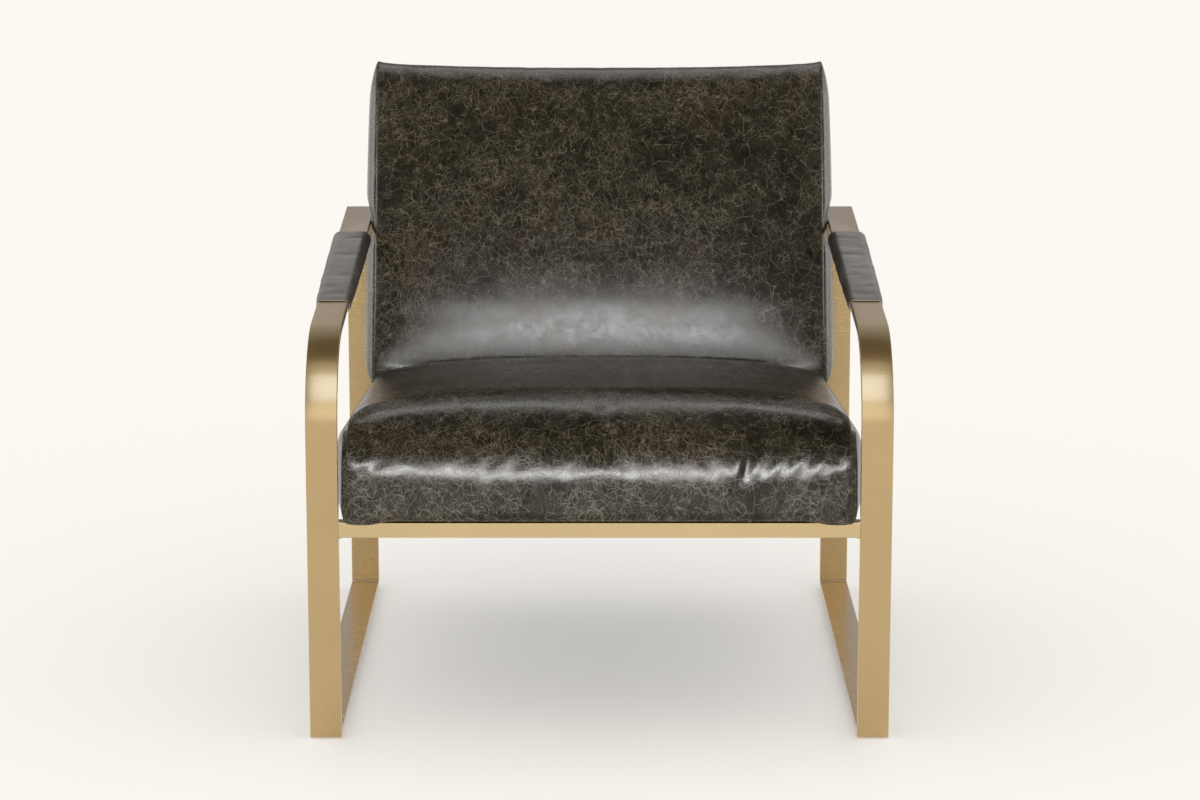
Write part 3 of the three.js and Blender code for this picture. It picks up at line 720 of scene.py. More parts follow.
def bend_arm_bar(side):
    low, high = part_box(f"{side}_arm_bar")
    middle_x = (low.x + high.x) / 2
    item = new_primitive(
        "plane",
        f"{side}_bent_arm_bar",
        size=1,
        location=(middle_x, leg_front_y + BAR_THICKNESS / 2, foot_z),
    )
    for vertex in item.data.vertices:
        sign_x = 1 if vertex.co.x > middle_x else -1
        sign_y = 1 if vertex.co.y > leg_front_y + BAR_THICKNESS / 2 else -1
        vertex.co.x = middle_x + sign_x * BAR_WIDTH / 2
        vertex.co.y = leg_front_y + BAR_THICKNESS / 2 + sign_y * BAR_THICKNESS / 2
    make_active(item)
    bpy.ops.object.mode_set(mode="EDIT")
    bpy.ops.mesh.select_all(action="SELECT")
    bpy.ops.mesh.extrude_region_move(
        TRANSFORM_OT_translate={"value": (0, 0, bend_centre_z - foot_z)}
    )
    bpy.ops.mesh.spin(
        steps=BEND_STEPS,
        angle=math.pi / 2 - ARM_SLOPE,
        center=(middle_x, bend_centre_y, bend_centre_z),
        axis=(1, 0, 0),
    )
    run = (arm_rear_y + SAW_WASTE - bend_centre_y) / math.cos(ARM_SLOPE)
    bpy.ops.mesh.extrude_region_move(
        TRANSFORM_OT_translate={
            "value": (0, run * math.cos(ARM_SLOPE), run * math.sin(ARM_SLOPE))
        }
    )
    bpy.ops.mesh.select_all(action="SELECT")
    bpy.ops.mesh.bisect(
        plane_co=(0, arm_rear_y, 0),
        plane_no=(0, 1, 0),
        use_fill=True,
        clear_outer=True,
    )
    bpy.ops.object.mode_set(mode="OBJECT")
    faces_out(item)
    bake_modifier(
        item,
        "BEVEL",
        width=BAR_EDGE_ROUND,
        segments=3,
        limit_method="ANGLE",
        angle_limit=math.radians(35),
    )
    smooth_below(item, METAL_SHARP)
    return belongs(item, brass, "brass_finish", f"{side}_arm_bar")


arm_bars = {side: bend_arm_bar(side) for side in ("left", "right")}
for side, item in arm_bars.items():
    reach = [round(max(v.co[axis] for v in item.data.vertices), 4) for axis in range(3)]
    print(side, "arm bar:", len(item.data.polygons), "faces, reaches", reach)

# %% [markdown]
# ## Welds
# The front cross bar is welded between the front legs, flush with them, and the weld was dressed to a
# small hollow fillet in each corner. The rear legs are welded on the runners and under the arms with a
# rippled bead in each corner.

# %% Weld fillets
FILLET_CUT = 0.96
FILLET_STEPS = 8
FILLET_HOLLOW = 0.12
FILLET_BELOW = 0.0045
FILLET_ABOVE = 0.0022
WELD_SETBACK = 0.0006


def hollow_fillet(name, corner, towards_x, towards_z, size, start_y, end_y):
    """A fillet with a hollow face in a corner of the front: a cube whose far edge is cut back."""
    middle_y = (start_y + end_y) / 2
    centre = (corner[0] + towards_x * size / 2, middle_y, corner[1] + towards_z * size / 2)
    item = new_primitive("cube", name, size=size, location=centre)
    for vertex in item.data.vertices:
        vertex.co.y = end_y if vertex.co.y > middle_y else start_y
    make_active(item)
    bpy.ops.object.mode_set(mode="EDIT")
    bpy.ops.mesh.select_all(action="DESELECT")
    bpy.ops.mesh.select_mode(type="EDGE")
    mesh = bmesh.from_edit_mesh(item.data)
    for edge in mesh.edges:
        edge.select = all(
            (v.co.x - centre[0]) * towards_x > 0 and (v.co.z - centre[2]) * towards_z > 0
            for v in edge.verts
        )
    bmesh.update_edit_mesh(item.data)
    bpy.ops.mesh.bevel(
        offset=size * FILLET_CUT, segments=FILLET_STEPS, profile=FILLET_HOLLOW, affect="EDGES"
    )
    bpy.ops.object.mode_set(mode="OBJECT")
    faces_out(item)
    smooth_below(item, METAL_SHARP)
    return belongs(item, weld_brass, "brass_finish")


bar_low, bar_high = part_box("front_crossbar")
weld_start = leg_front_y + WELD_SETBACK
weld_end = leg_front_y + BAR_THICKNESS - WELD_SETBACK
fillets = []
for side, corner_x, sign_x in (("left", bar_low.x, 1), ("right", bar_high.x, -1)):
    for place, corner_z, sign_z, size in (
        ("below", bar_low.z, -1, FILLET_BELOW),
        ("above", bar_high.z, 1, FILLET_ABOVE),
    ):
        name, corner = f"{side}_weld_{place}", (corner_x, corner_z)
        fillets.append(hollow_fillet(name, corner, sign_x, sign_z, size, weld_start, weld_end))
print("weld fillets:", len(fillets))

# %% Weld beads at the rear legs
BEAD_RADIUS = 0.0019
BEAD_RIPPLE = 0.0021
BEAD_RIPPLE_DEPTH = 0.10
BEAD_RINGS = 70
BEAD_END_MARGIN = 0.001
BEAD_SHARP = 50


def weld_bead(name, middle, length):
    """A bead laid along a corner: a round bar cut into many rings, rippled and drawn in at its ends."""
    item = new_primitive(
        "cylinder",
        name,
        vertices=16,
        radius=BEAD_RADIUS,
        depth=length,
        location=middle,
        rotation=(0, math.pi / 2, 0),
    )
    make_active(item)
    bpy.ops.object.mode_set(mode="EDIT")
    bpy.ops.mesh.select_mode(type="EDGE")
    bpy.ops.mesh.select_all(action="DESELECT")
    mesh = bmesh.from_edit_mesh(item.data)
    for edge in mesh.edges:
        edge.select = abs(edge.verts[0].co.x - edge.verts[1].co.x) > length / 2
    bmesh.update_edit_mesh(item.data)
    bpy.ops.mesh.subdivide(number_cuts=BEAD_RINGS)
    bpy.ops.object.mode_set(mode="OBJECT")
    for vertex in item.data.vertices:
        along_bead = vertex.co.x - middle[0]
        to_end = min((length / 2 - abs(along_bead)) / BEAD_RADIUS, 1.0)
        ripple = BEAD_RIPPLE_DEPTH * math.cos(math.tau * along_bead / BEAD_RIPPLE)
        size = (0.92 + ripple) * (0.35 + 0.65 * math.sqrt(max(to_end, 0.0)))
        vertex.co.y = middle[1] + (vertex.co.y - middle[1]) * size
        vertex.co.z = middle[2] + (vertex.co.z - middle[2]) * size
    faces_out(item)
    smooth_below(item, BEAD_SHARP)
    return belongs(item, weld_brass, "brass_finish")


beads = []
for side in ("left", "right"):
    leg_low, leg_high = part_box(f"{side}_rear_leg")
    runner_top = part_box(f"{side}_floor_runner")[1].z
    middle_x = (leg_low.x + leg_high.x) / 2
    under_arm_front = leg_high.z - (leg_high.y - leg_low.y) * math.tan(ARM_SLOPE)
    for place, y, z in (
        ("front_foot", leg_low.y, runner_top),
        ("rear_foot", leg_high.y, runner_top),
        ("front_top", leg_low.y, under_arm_front),
        ("rear_top", leg_high.y, leg_high.z),
    ):
        middle = (middle_x, y, z)
        beads.append(weld_bead(f"{side}_{place}_bead", middle, BAR_WIDTH - BEAD_END_MARGIN))
print("weld beads:", len(beads))

# %% [markdown]
# ## Cushions
# Both cushions are foam on a webbed wooden frame under a tight leather cover: one main panel that
# runs over the crown, and a side panel sewn on at each end. A cover like this is cut
# flat, so its middle stands up in a crown and drops quickly to the side seams. The section of each
# cushion is drawn as a closed line for every station across the chair. The stations are joined to a
# fine net of quads, and the side panels are closed towards their own middle line.

# %% Lines that the sections are drawn with


def arc(centre, radii, start, end, count):
    angles = np.radians(np.linspace(start, end, count))
    return np.column_stack(
        (centre[0] + radii[0] * np.cos(angles), centre[1] + radii[1] * np.sin(angles))
    )


def straight(start, end, count):
    share = np.linspace(0, 1, count)[:, None]
    return np.array(start) * (1 - share) + np.array(end) * share


def joined(*lines):
    """One line from several, without the doubled points where they meet."""
    kept = [lines[0]]
    for line in lines[1:]:
        kept.append(line[1:])
    return np.concatenate(kept)


quarter = arc((0, 0), (1, 1), 0, 90, 5)
print("a quarter turn in", len(quarter), "points ends at", quarter[-1].round(3))

# %% Sizes that both cushions share
HALF_SEAM = 0.304
SEAT_TILT = math.radians(5.5)
BACK_RECLINE = math.radians(21.0)
BETWEEN_CUSHIONS = math.radians(15.5)
LEAN = math.tan(BETWEEN_CUSHIONS)
CUSHION_GAP = 0.0003
LOWER_EDGE = 0.008
print("seams", 2 * HALF_SEAM, "m apart")

# %% The seat's section
SEAT_DEPTH = 0.6957979
SEAT_CLEAR_DEPTH = 0.5080256
SEAT_SIDE_HEIGHT = 0.107
SEAT_CROWN = 0.042
SEAT_FRONT_REACH = 0.006
SEAT_FRONT_SWELL = 0.008
NOSE_DEPTH = 0.034
NOSE_DEPTH_SWELL = 0.092
NOSE_START = 0.066
NOSE_START_FALL = 0.0185
SEAT_REAR_CORNER = 0.016
SEAT_REAR_ROLL = 0.014
SEAT_SPLIT = 0.028


def seat_crown(share):
    """How much of the seat's crown is there: 1 in the middle of the cushion, 0 at its side seams."""
    return (1 - abs(share) ** 2.5) ** 0.32


def seat_section(share, inset):
    """The seat cushion's section: depth from the front and height, as an upper and a lower line.

    share is 0 in the middle of the cushion and 1 at its side seams.
    """
    crown = seat_crown(share)
    front = inset - SEAT_FRONT_REACH - SEAT_FRONT_SWELL * crown
    rear = SEAT_DEPTH - inset
    base = inset
    top = SEAT_SIDE_HEIGHT + SEAT_CROWN * crown - inset
    shelf = SEAT_SIDE_HEIGHT - inset
    nose_depth = NOSE_DEPTH + NOSE_DEPTH_SWELL * crown - inset
    nose_start = NOSE_START - NOSE_START_FALL * crown
    drop = (top - shelf) * 0.4
    edge, corner, roll = LOWER_EDGE, SEAT_REAR_CORNER, SEAT_REAR_ROLL

    def back_plane(height):
        gap = (CUSHION_GAP + inset) / math.cos(BETWEEN_CUSHIONS)
        return SEAT_CLEAR_DEPTH - gap + (height - SEAT_SIDE_HEIGHT - CUSHION_GAP) * LEAN

    roll_start = back_plane(top - drop) - roll - 0.004 * (1 - crown)
    split = SEAT_SPLIT
    upper = joined(
        straight((front, split), (front, nose_start), 5),
        arc((front + nose_depth, nose_start), (nose_depth, top - nose_start), 180, 90, 26),
        straight((front + nose_depth, top), (roll_start, top), 42),
        arc((roll_start, top - drop), (roll, drop), 90, 0, 7),
        straight((roll_start + roll, top - drop), (back_plane(shelf), shelf), 5),
        straight((back_plane(shelf), shelf), (rear - corner, shelf), 16),
        arc((rear - corner, shelf - corner), (corner, corner), 90, 0, 6),
        straight((rear, shelf - corner), (rear, split), 8),
    )
    lower = joined(
        straight((front, split), (front, base + edge), 6),
        arc((front + edge, base + edge), (edge, edge), 180, 270, 4),
        straight((front + edge, base), (rear - edge, base), len(upper) - 15),
        arc((rear - edge, base + edge), (edge, edge), 270, 360, 4),
        straight((rear, base + edge), (rear, split), 6),
    )
    return upper, lower


print("points in the seat's section:", [len(line) for line in seat_section(0.0, 0.0)])

# %% The back's section
BACK_THICKNESS = 0.115
BACK_HEIGHT = 0.458
BACK_SPLIT = 0.057
BACK_CURVE_START = 0.029
BACK_SWELL = 0.021
BACK_TOP_RISE = 0.0035
BACK_TOP_SAG = 0.0112
BACK_TOP_DEPTH = 0.034
BACK_TOP_HEIGHT = 0.046
BACK_REAR_CORNER = 0.020


def back_crown(share):
    """The same share for the back's top edge, which sags in the middle."""
    return (1 - abs(share) ** 2.2) ** 0.42


def back_fullness(share):
    """The same share for the back's front face, which stays full until close to the seams."""
    return (1 - abs(share) ** 4) ** 0.6


def back_section(share, inset):
    """The back cushion's section: depth through it and height up it, as a front and a rear line."""
    crown = back_crown(share)
    fullness = back_fullness(share)
    rear = BACK_THICKNESS - inset
    top = BACK_HEIGHT + BACK_TOP_RISE - BACK_TOP_SAG * crown - inset
    edge, corner, roll = LOWER_EDGE, BACK_REAR_CORNER, BACK_TOP_DEPTH

    def foot(depth):
        return depth * LEAN + inset

    def swell(height):
        way_up = np.clip((height - BACK_CURVE_START) / (top - BACK_CURVE_START), 0, 1)
        return BACK_SWELL * fullness * np.sin(math.pi * way_up**0.7)

    round_start = top + inset - BACK_TOP_HEIGHT
    heights = np.linspace(foot(inset) + edge, round_start, 72)
    face = np.column_stack((inset - swell(heights), heights))
    middle = BACK_SPLIT
    turn = inset - swell(np.array([round_start]))[0]
    front_line = joined(
        straight((middle, foot(middle)), (inset + edge, foot(inset + edge)), 9),
        arc((inset + edge, foot(inset) + edge), (edge, edge), 255, 180, 4),
        face,
        arc((turn + roll, round_start), (roll, top - round_start), 180, 90, 15),
        straight((turn + roll, top), (middle, top), 5),
    )
    rear_line = joined(
        straight((middle, foot(middle)), (rear - edge, foot(rear - edge)), 9),
        arc((rear - edge, foot(rear - edge) + edge), (edge, edge), 285, 360, 4),
        straight((rear, foot(rear) + edge), (rear, top - corner), 72),
        arc((rear - corner, top - corner), (corner, corner), 0, 90, 14),
        straight((rear - corner, top), (middle, top), 6),
    )
    return front_line, rear_line


print("points in the back's section:", [len(line) for line in back_section(0.0, 0.0)])

# %% [markdown]
# The seat tips back by 5.5 degrees and the back leans by 21. Each cushion is drawn upright and then
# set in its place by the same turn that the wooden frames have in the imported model.

# %% Set a cushion line in its place
SEAT_ORIGIN = (leg_front_y, 0.27263088)
BACK_ORIGIN = (leg_front_y + 0.515971, 0.3307448)


def in_place(origin, turn, x, depth, height):
    y = origin[0] + depth * math.cos(turn) + height * math.sin(turn)
    z = origin[1] - depth * math.sin(turn) + height * math.cos(turn)
    return np.column_stack((np.broadcast_to(x, np.shape(y)), y, z))


def upright(origin, turn, points):
    """The way back: depth from the cushion's front and height up it, of points of the chair."""
    y, z = points[:, 1] - origin[0], points[:, 2] - origin[1]
    depth = y * math.cos(turn) - z * math.sin(turn)
    height = y * math.sin(turn) + z * math.cos(turn)
    return depth, height


SEAM_ZONE = 0.030
seam_offsets = np.array([0, 0.0012, 0.003, 0.006, 0.010, 0.0155, 0.0225])
middle_stations = np.linspace(-HALF_SEAM + SEAM_ZONE, HALF_SEAM - SEAM_ZONE, 73)
stations = np.concatenate(
    (-HALF_SEAM + seam_offsets, middle_stations, (HALF_SEAM - seam_offsets)[::-1])
)
print("stations across a cushion:", len(stations))

# %% A net of quads from the section lines
PANEL_SHARES = (0.03, 0.075, 0.14, 0.22, 0.32, 0.44, 0.57, 0.70, 0.83, 0.93)


def cushion_net(section, origin, turn, spine, bulge_at, inset):
    """Vertices, faces and marks of a cushion. spine pulls a side point to its panel's middle line."""
    points, faces, rings = [], [], []
    for x in stations:
        upper, lower = section(min(abs(x) / HALF_SEAM, 1.0), inset)
        loop = np.concatenate((upper, lower[-2:0:-1]))
        reach = x * (HALF_SEAM - inset) / HALF_SEAM
        start = len(points)
        points.extend(in_place(origin, turn, reach, loop[:, 0], loop[:, 1]))
        rings.append(list(range(start, start + len(loop))))
    for first, second in zip(rings, rings[1:]):
        for here in range(len(first)):
            after = (here + 1) % len(first)
            faces.append((first[here], first[after], second[after], second[here]))
    marks = {"rings": rings, "seams": [rings[0], rings[-1]], "main_count": len(points)}
    upper, lower = section(1.0, inset)
    loop = np.concatenate((upper, lower[-2:0:-1]))
    middle = spine(loop)
    last = len(upper) - 1
    for sign, ring in ((-1, rings[0]), (1, rings[-1])):
        panel = []
        previous = ring
        for share in PANEL_SHARES:
            inner = loop * (1 - share) + middle * share
            reach = sign * (HALF_SEAM - inset + bulge_at(inner, share))
            start = len(points)
            points.extend(in_place(origin, turn, reach, inner[:, 0], inner[:, 1]))
            current = list(range(start, start + len(loop)))
            for here in range(len(loop)):
                after = (here + 1) % len(loop)
                panel.append((previous[here], previous[after], current[after], current[here]))
            previous = current
        for here in range(1, last - 1):
            panel.append(
                (previous[here], previous[here + 1], previous[-here - 1], previous[-here])
            )
        panel.append((previous[0], previous[1], previous[-1]))
        panel.append((previous[last], previous[last + 1], previous[last - 1]))
        faces.extend(face if sign > 0 else face[::-1] for face in panel)
    return np.array(points), faces, marks


def mesh_object(name, points, faces):
    mesh = bpy.data.meshes.new(name)
    mesh.from_pydata([tuple(point) for point in points], [], [tuple(face) for face in faces])
    mesh.update()
    item = bpy.data.objects.new(name, mesh)
    bpy.context.scene.collection.objects.link(item)
    return item


print("rows of quads on each side panel:", len(PANEL_SHARES))

# %% [markdown]
# A side panel is sewn in flat and then swells where nothing holds it. Its rows of points close towards
# a middle line, and each row stands out a little more than the one before. Beside a leg or an arm bar
# there is only a small gap, so the panel stays nearly flat there.

# %% Side panels: their middle lines and how far they bulge
SEAT_SPINE_HEIGHT = 0.053
SEAT_SPINE_START = 0.046
SEAT_SPINE_END = SEAT_DEPTH - 0.052
BACK_SPINE_DEPTH = 0.0575
BACK_SPINE_START = 0.070
BACK_SPINE_END = BACK_HEIGHT - 0.056


def seat_spine(loop):
    depth = np.clip(loop[:, 0], SEAT_SPINE_START, SEAT_SPINE_END)
    return np.column_stack((depth, np.full(len(loop), SEAT_SPINE_HEIGHT)))


def back_spine(loop):
    height = np.clip(loop[:, 1], BACK_SPINE_START, BACK_SPINE_END)
    return np.column_stack((np.full(len(loop), BACK_SPINE_DEPTH), height))


def smooth_rise(value, start, end):
    """0 below start, 1 above end, and a soft rise in between."""
    share = np.clip((value - start) / (end - start), 0, 1)
    return share * share * (3 - 2 * share)


PANEL_BULGE = 0.0084
SEAT_FREE_BULGE = 0.0075
BACK_BULGE_ABOVE = 0.0158
BACK_BULGE_BELOW = 0.0155
REAR_LEG_DEPTH = 0.665


def seat_bulge(points, share):
    """How far the seat's side panel stands out; share is 0 at its seam and 1 at its middle line.

    Between the legs it is free to swell. Beside a leg there is only the gap up to its inner face.
    """
    depth = points[:, 0]
    free = smooth_rise(depth, 0.008, 0.062) * smooth_rise(0.640 - depth, 0.0, 0.040)
    return (PANEL_BULGE + SEAT_FREE_BULGE * free) * (1 - (1 - share) ** 3.4) ** 0.45


def back_bulge(points, share):
    """The same for the back's side panel. Above and below the arm bars it is free to swell."""
    depth, height = points[:, 0], points[:, 1]
    turn_y, turn_z = math.cos(BACK_RECLINE), math.sin(BACK_RECLINE)
    place_y = BACK_ORIGIN[0] + depth * turn_y + height * turn_z
    place_z = BACK_ORIGIN[1] - depth * turn_z + height * turn_y
    arm_top = arm_top_front + (place_y - leg_front_y) * math.tan(ARM_SLOPE)
    above = smooth_rise(place_z - arm_top, 0.004, 0.030)
    below = smooth_rise(arm_top - BAR_THICKNESS - place_z, 0.002, 0.024)
    before_leg = smooth_rise(leg_front_y + REAR_LEG_DEPTH - place_y, 0.0, 0.035)
    extra_above = (BACK_BULGE_ABOVE - PANEL_BULGE) * above
    extra_below = (BACK_BULGE_BELOW - PANEL_BULGE) * below * before_leg
    bulge = PANEL_BULGE + extra_above + extra_below
    from_top = np.maximum(BACK_HEIGHT - height, 0.0)
    return bulge * (1 - 0.32 * np.exp(-from_top / 0.075)) * (1 - (1 - share) ** 2.2) ** 0.8


middle_of_seat = np.array([[SEAT_DEPTH / 2, SEAT_SPINE_HEIGHT]])
print("seat's side panel bulges by", seat_bulge(middle_of_seat, 1.0).round(4), "m")

# %% [markdown]
# The cover is blown up from inside by a cloth simulation, as foam presses out against leather. The
# leather is cut a little full, so it comes out with soft undulations. The seams, the side panels and
# the underside are held. The section lines already give the full shape, so only the undulations are
# kept: the broad swelling is worked out by averaging each point's motion with its neighbours', and
# taken off again. A few pressed creases are added where the leather is pulled round a corner.

# %% Fill a cushion
FILLING_STEPS = 20


def read_points(mesh):
    values = np.empty(len(mesh.vertices) * 3, dtype=np.float32)
    mesh.vertices.foreach_get("co", values)
    return values.reshape(-1, 3).astype(float)


def write_points(mesh, points):
    mesh.vertices.foreach_set("co", np.asarray(points, dtype=np.float32).ravel())
    mesh.update()


def fill_cushion(item, held, pressure, cap, slack):
    """Blow the cover up, keep each point's motion under the cap and the held points where they were."""
    start = read_points(item.data)
    group = item.vertex_groups.new(name="held")
    weights = np.round(held, 2)
    for weight in np.unique(weights):
        if weight > 0:
            group.add(np.nonzero(weights == weight)[0].tolist(), float(weight), "REPLACE")
    make_active(item)
    modifier = item.modifiers.new("filling", "CLOTH")
    settings = modifier.settings
    settings.quality = 5
    settings.mass = 0.4
    settings.tension_stiffness = 22
    settings.compression_stiffness = 22
    settings.shear_stiffness = 12
    settings.bending_stiffness = 0.6
    settings.use_pressure = True
    settings.uniform_pressure_force = pressure
    settings.shrink_min = -slack
    settings.vertex_group_mass = "held"
    settings.effector_weights.gravity = 0
    modifier.point_cache.frame_start = 1
    modifier.point_cache.frame_end = FILLING_STEPS
    scene = bpy.context.scene
    for number in range(1, FILLING_STEPS + 1):
        scene.frame_set(number)
    seen = item.evaluated_get(bpy.context.evaluated_depsgraph_get())
    moved = read_points(seen.data) - start
    item.modifiers.remove(modifier)
    scene.frame_set(1)
    length = np.linalg.norm(moved, axis=1)
    share = np.minimum(1.0, cap / np.maximum(length, 1e-9))
    result = start + moved * share[:, None]
    print(item.name, "moved up to", round(float(length.max()) * 1000, 1), "mm")
    item.vertex_groups.clear()
    return result


print("a filling runs for", FILLING_STEPS, "steps")

# %% Where the foam may move the leather


def held_weights(marks, count, free_test, points):
    """1 where the leather is held, 0 where the foam may move it, with a soft step in between."""
    held = np.ones(count)
    main = np.arange(marks["main_count"])
    free = free_test(points[main])
    distance = HALF_SEAM - np.abs(points[main, 0])
    held[main] = 1 - free * smooth_rise(distance, 0.000, 0.020)
    return held


def seat_free(points):
    """The seat moves over the nose and the crown, not underneath nor below the back cushion."""
    depth, height = upright(SEAT_ORIGIN, SEAT_TILT, points)
    return smooth_rise(height, 0.018, 0.056) * smooth_rise(0.500 - depth, 0.0, 0.030)


def back_free(points):
    """The back moves over its front face and its top."""
    depth, height = upright(BACK_ORIGIN, BACK_RECLINE, points)
    return smooth_rise(height, 0.040, 0.120) * smooth_rise(0.070 - depth, 0.0, 0.025)


nose_top = np.array([[0.0, SEAT_ORIGIN[0] + 0.10, SEAT_ORIGIN[1] + 0.12]])
print("on top of the nose the leather is free by", seat_free(nose_top).round(2), "of 1")

# %% Unevenness and creases


def point_normals(item):
    values = np.empty(len(item.data.vertices) * 3, dtype=np.float32)
    item.data.vertices.foreach_get("normal", values)
    return values.reshape(-1, 3).astype(float)


def waves(points, size, seed):
    """A gentle hand-made unevenness: a smooth noise, the same on every run."""
    shift = Vector((seed * 3.1, seed * 1.7, seed * 2.3))
    return np.array([noise.noise(Vector(point) / size + shift) for point in points])


def crease(points, start, end, depth, width):
    """How far a soft crease from start to end, seen from the front, presses each point in."""
    flat = points[:, [0, 2]]
    start, end = np.array(start), np.array(end)
    line = end - start
    share = np.clip(((flat - start) @ line) / (line @ line), 0, 1)
    away = flat - (start + share[:, None] * line)
    side = away[:, 0] * line[1] - away[:, 1] * line[0]
    side = np.sign(side) * np.linalg.norm(away, axis=1)
    taper = np.sin(np.pi * np.clip(share, 0.02, 0.98)) ** 0.6
    valley = np.exp(-((side / width) ** 2))
    ridge = np.exp(-(((side - 1.9 * width) / (1.3 * width)) ** 2))
    return depth * taper * (valley - 0.75 * ridge)


# Creases of the seat's nose, most of them where the leather is pulled round the right corner: start and
# end in metres across the chair and up it, then depth and width
NOSE_CREASES = (
    ((0.1850, 0.3720), (0.1690, 0.3180), 0.0046, 0.0048),
    ((0.1640, 0.3580), (0.1550, 0.3220), 0.0014, 0.0042),
    ((0.2120, 0.3680), (0.1890, 0.3220), 0.0017, 0.0050),
    ((0.2390, 0.3640), (0.2110, 0.3220), 0.0015, 0.0052),
    ((0.2610, 0.3600), (0.2350, 0.3240), 0.0013, 0.0054),
    ((0.2860, 0.3560), (0.2620, 0.3260), 0.0012, 0.0052),
    ((-0.0900, 0.3580), (-0.1060, 0.3340), 0.0011, 0.0065),
    ((-0.2580, 0.3500), (-0.2870, 0.3280), 0.0013, 0.0060),
)
BACK_CREASES = (
    ((-0.0440, 0.3930), (-0.0200, 0.4040), 0.0012, 0.0042),
    ((-0.2700, 0.7350), (-0.2350, 0.7050), 0.0012, 0.0060),
    ((0.2700, 0.7350), (0.2400, 0.7000), 0.0014, 0.0060),
)


print("creases of the nose and the back:", len(NOSE_CREASES), len(BACK_CREASES))

# %% Build both cushions and fill them
EVENING_ROUNDS = 45
START_INSET = 0.003
FILL_PRESSURE = 4.0
FILL_CAP = 0.008
FILL_SLACK = 0.004
BROAD_UNEVENNESS = 0.00040
FINE_UNEVENNESS = 0.00010
SEAT_WAVINESS = 0.65
BACK_WAVINESS = 0.35


def evened(item, values, rounds):
    """Each point's value averaged with its neighbours' again and again, which leaves the broad shape."""
    count = len(item.data.edges)
    ends = np.empty(count * 2, dtype=np.int32)
    item.data.edges.foreach_get("vertices", ends)
    first, second = ends.reshape(-1, 2).T
    total = len(values)
    degree = np.bincount(first, minlength=total) + np.bincount(second, minlength=total)
    for _ in range(rounds):
        summed = np.column_stack(
            [
                np.bincount(first, values[second, axis], minlength=total)
                + np.bincount(second, values[first, axis], minlength=total)
                for axis in range(3)
            ]
        )
        values = values * 0.4 + summed / degree[:, None] * 0.6
    return values


def make_cushion(name, section, origin, turn, spine, bulge, free_test, waviness, creases):
    """A cushion with its undulations. waviness is the share of the simulated ones that is kept."""
    points, faces, marks = cushion_net(section, origin, turn, spine, bulge, 0.0)
    smaller, _, _ = cushion_net(section, origin, turn, spine, bulge, START_INSET)
    held = held_weights(marks, len(points), free_test, points)
    start = points * held[:, None] + smaller * (1 - held[:, None])
    item = mesh_object(name, start, faces)
    faces_out(item)
    moved = fill_cushion(item, held, FILL_PRESSURE, FILL_CAP, FILL_SLACK) - start
    free = 1 - held
    undulation = (moved - evened(item, moved, EVENING_ROUNDS)) * free[:, None]
    size = np.linalg.norm(undulation, axis=1)
    print(name, "undulates by up to", round(float(size.max()) * 1000, 2), "mm")
    filled = points + undulation * waviness
    write_points(item.data, filled)
    outward = point_normals(item)
    broad = BROAD_UNEVENNESS * waves(filled, 0.060, 1.0)
    uneven = waviness * (broad + FINE_UNEVENNESS * waves(filled, 0.022, 2.0))
    pressed = sum(crease(filled, *fold) for fold in creases) * (outward[:, 1] < 0.15)
    filled = filled + outward * ((uneven - pressed) * free)[:, None]
    write_points(item.data, filled)
    print(name, "has", len(item.data.vertices), "points")
    return item, marks


seat_cushion, seat_marks = make_cushion(
    "seat_cushion",
    seat_section,
    SEAT_ORIGIN,
    SEAT_TILT,
    seat_spine,
    seat_bulge,
    seat_free,
    SEAT_WAVINESS,
    NOSE_CREASES,
)
back_cushion, back_marks = make_cushion(
    "back_cushion",
    back_section,
    BACK_ORIGIN,
    BACK_RECLINE,
    back_spine,
    back_bulge,
    back_free,
    BACK_WAVINESS,
    BACK_CREASES,
)

# %% [markdown]
# At its two front corners the seat's cover is a little too long for the frame, so it hangs over the
# cross bar in two rounded flaps.

# %% Let the front corners droop
DROOP = 0.0056
DROOP_HEIGHT = 0.030
FLAP_INNER = 0.245
FLAP_OUTER = 0.314


def droop_corners(item):
    points = read_points(item.data)
    overhang = smooth_rise(leg_front_y + 0.0010 - points[:, 1], 0.0, 0.003)
    low = smooth_rise(SEAT_ORIGIN[1] + DROOP_HEIGHT - points[:, 2], 0.0, 0.026)
    side = np.abs(points[:, 0])
    corner = smooth_rise(side, FLAP_INNER, 0.280) * smooth_rise(FLAP_OUTER - side, 0.0, 0.010)
    drop = DROOP * corner * low * overhang
    points[:, 2] -= drop
    write_points(item.data, points)
    return float(drop.max())


print("corners droop by", round(droop_corners(seat_cushion) * 1000, 1), "mm")

# %% [markdown]
# The thread pulls the leather in along each seam, so a seam is a narrow groove with a soft lip on both
# sides. A row of topstitches runs 3 mm from it on the main panel. The stitches are modelled once, as a
# small arched bead, and copied along the row at 4.9 mm.

# %% Pull the seams in
SEAM_GROOVE = 0.0010
SEAM_LIP = 0.0001


def pull_seams(item, marks):
    points = read_points(item.data)
    outward = point_normals(item)
    around = len(marks["rings"][0])
    panel_start = marks["main_count"]
    panels = (panel_start, panel_start + len(PANEL_SHARES) * around)
    for ring, lip, panel in zip(marks["seams"], (marks["rings"][1], marks["rings"][-2]), panels):
        first_of_panel = list(range(panel, panel + around))
        points[ring] -= outward[ring] * SEAM_GROOVE
        points[lip] += outward[lip] * SEAM_LIP
        points[first_of_panel] += outward[first_of_panel] * SEAM_LIP
    write_points(item.data, points)
    return [points[marks["rings"][place]] for place in (2, -3)]


seat_rows = pull_seams(seat_cushion, seat_marks)
back_rows = pull_seams(back_cushion, back_marks)
print("seams pulled in by", SEAM_GROOVE * 1000, "mm")

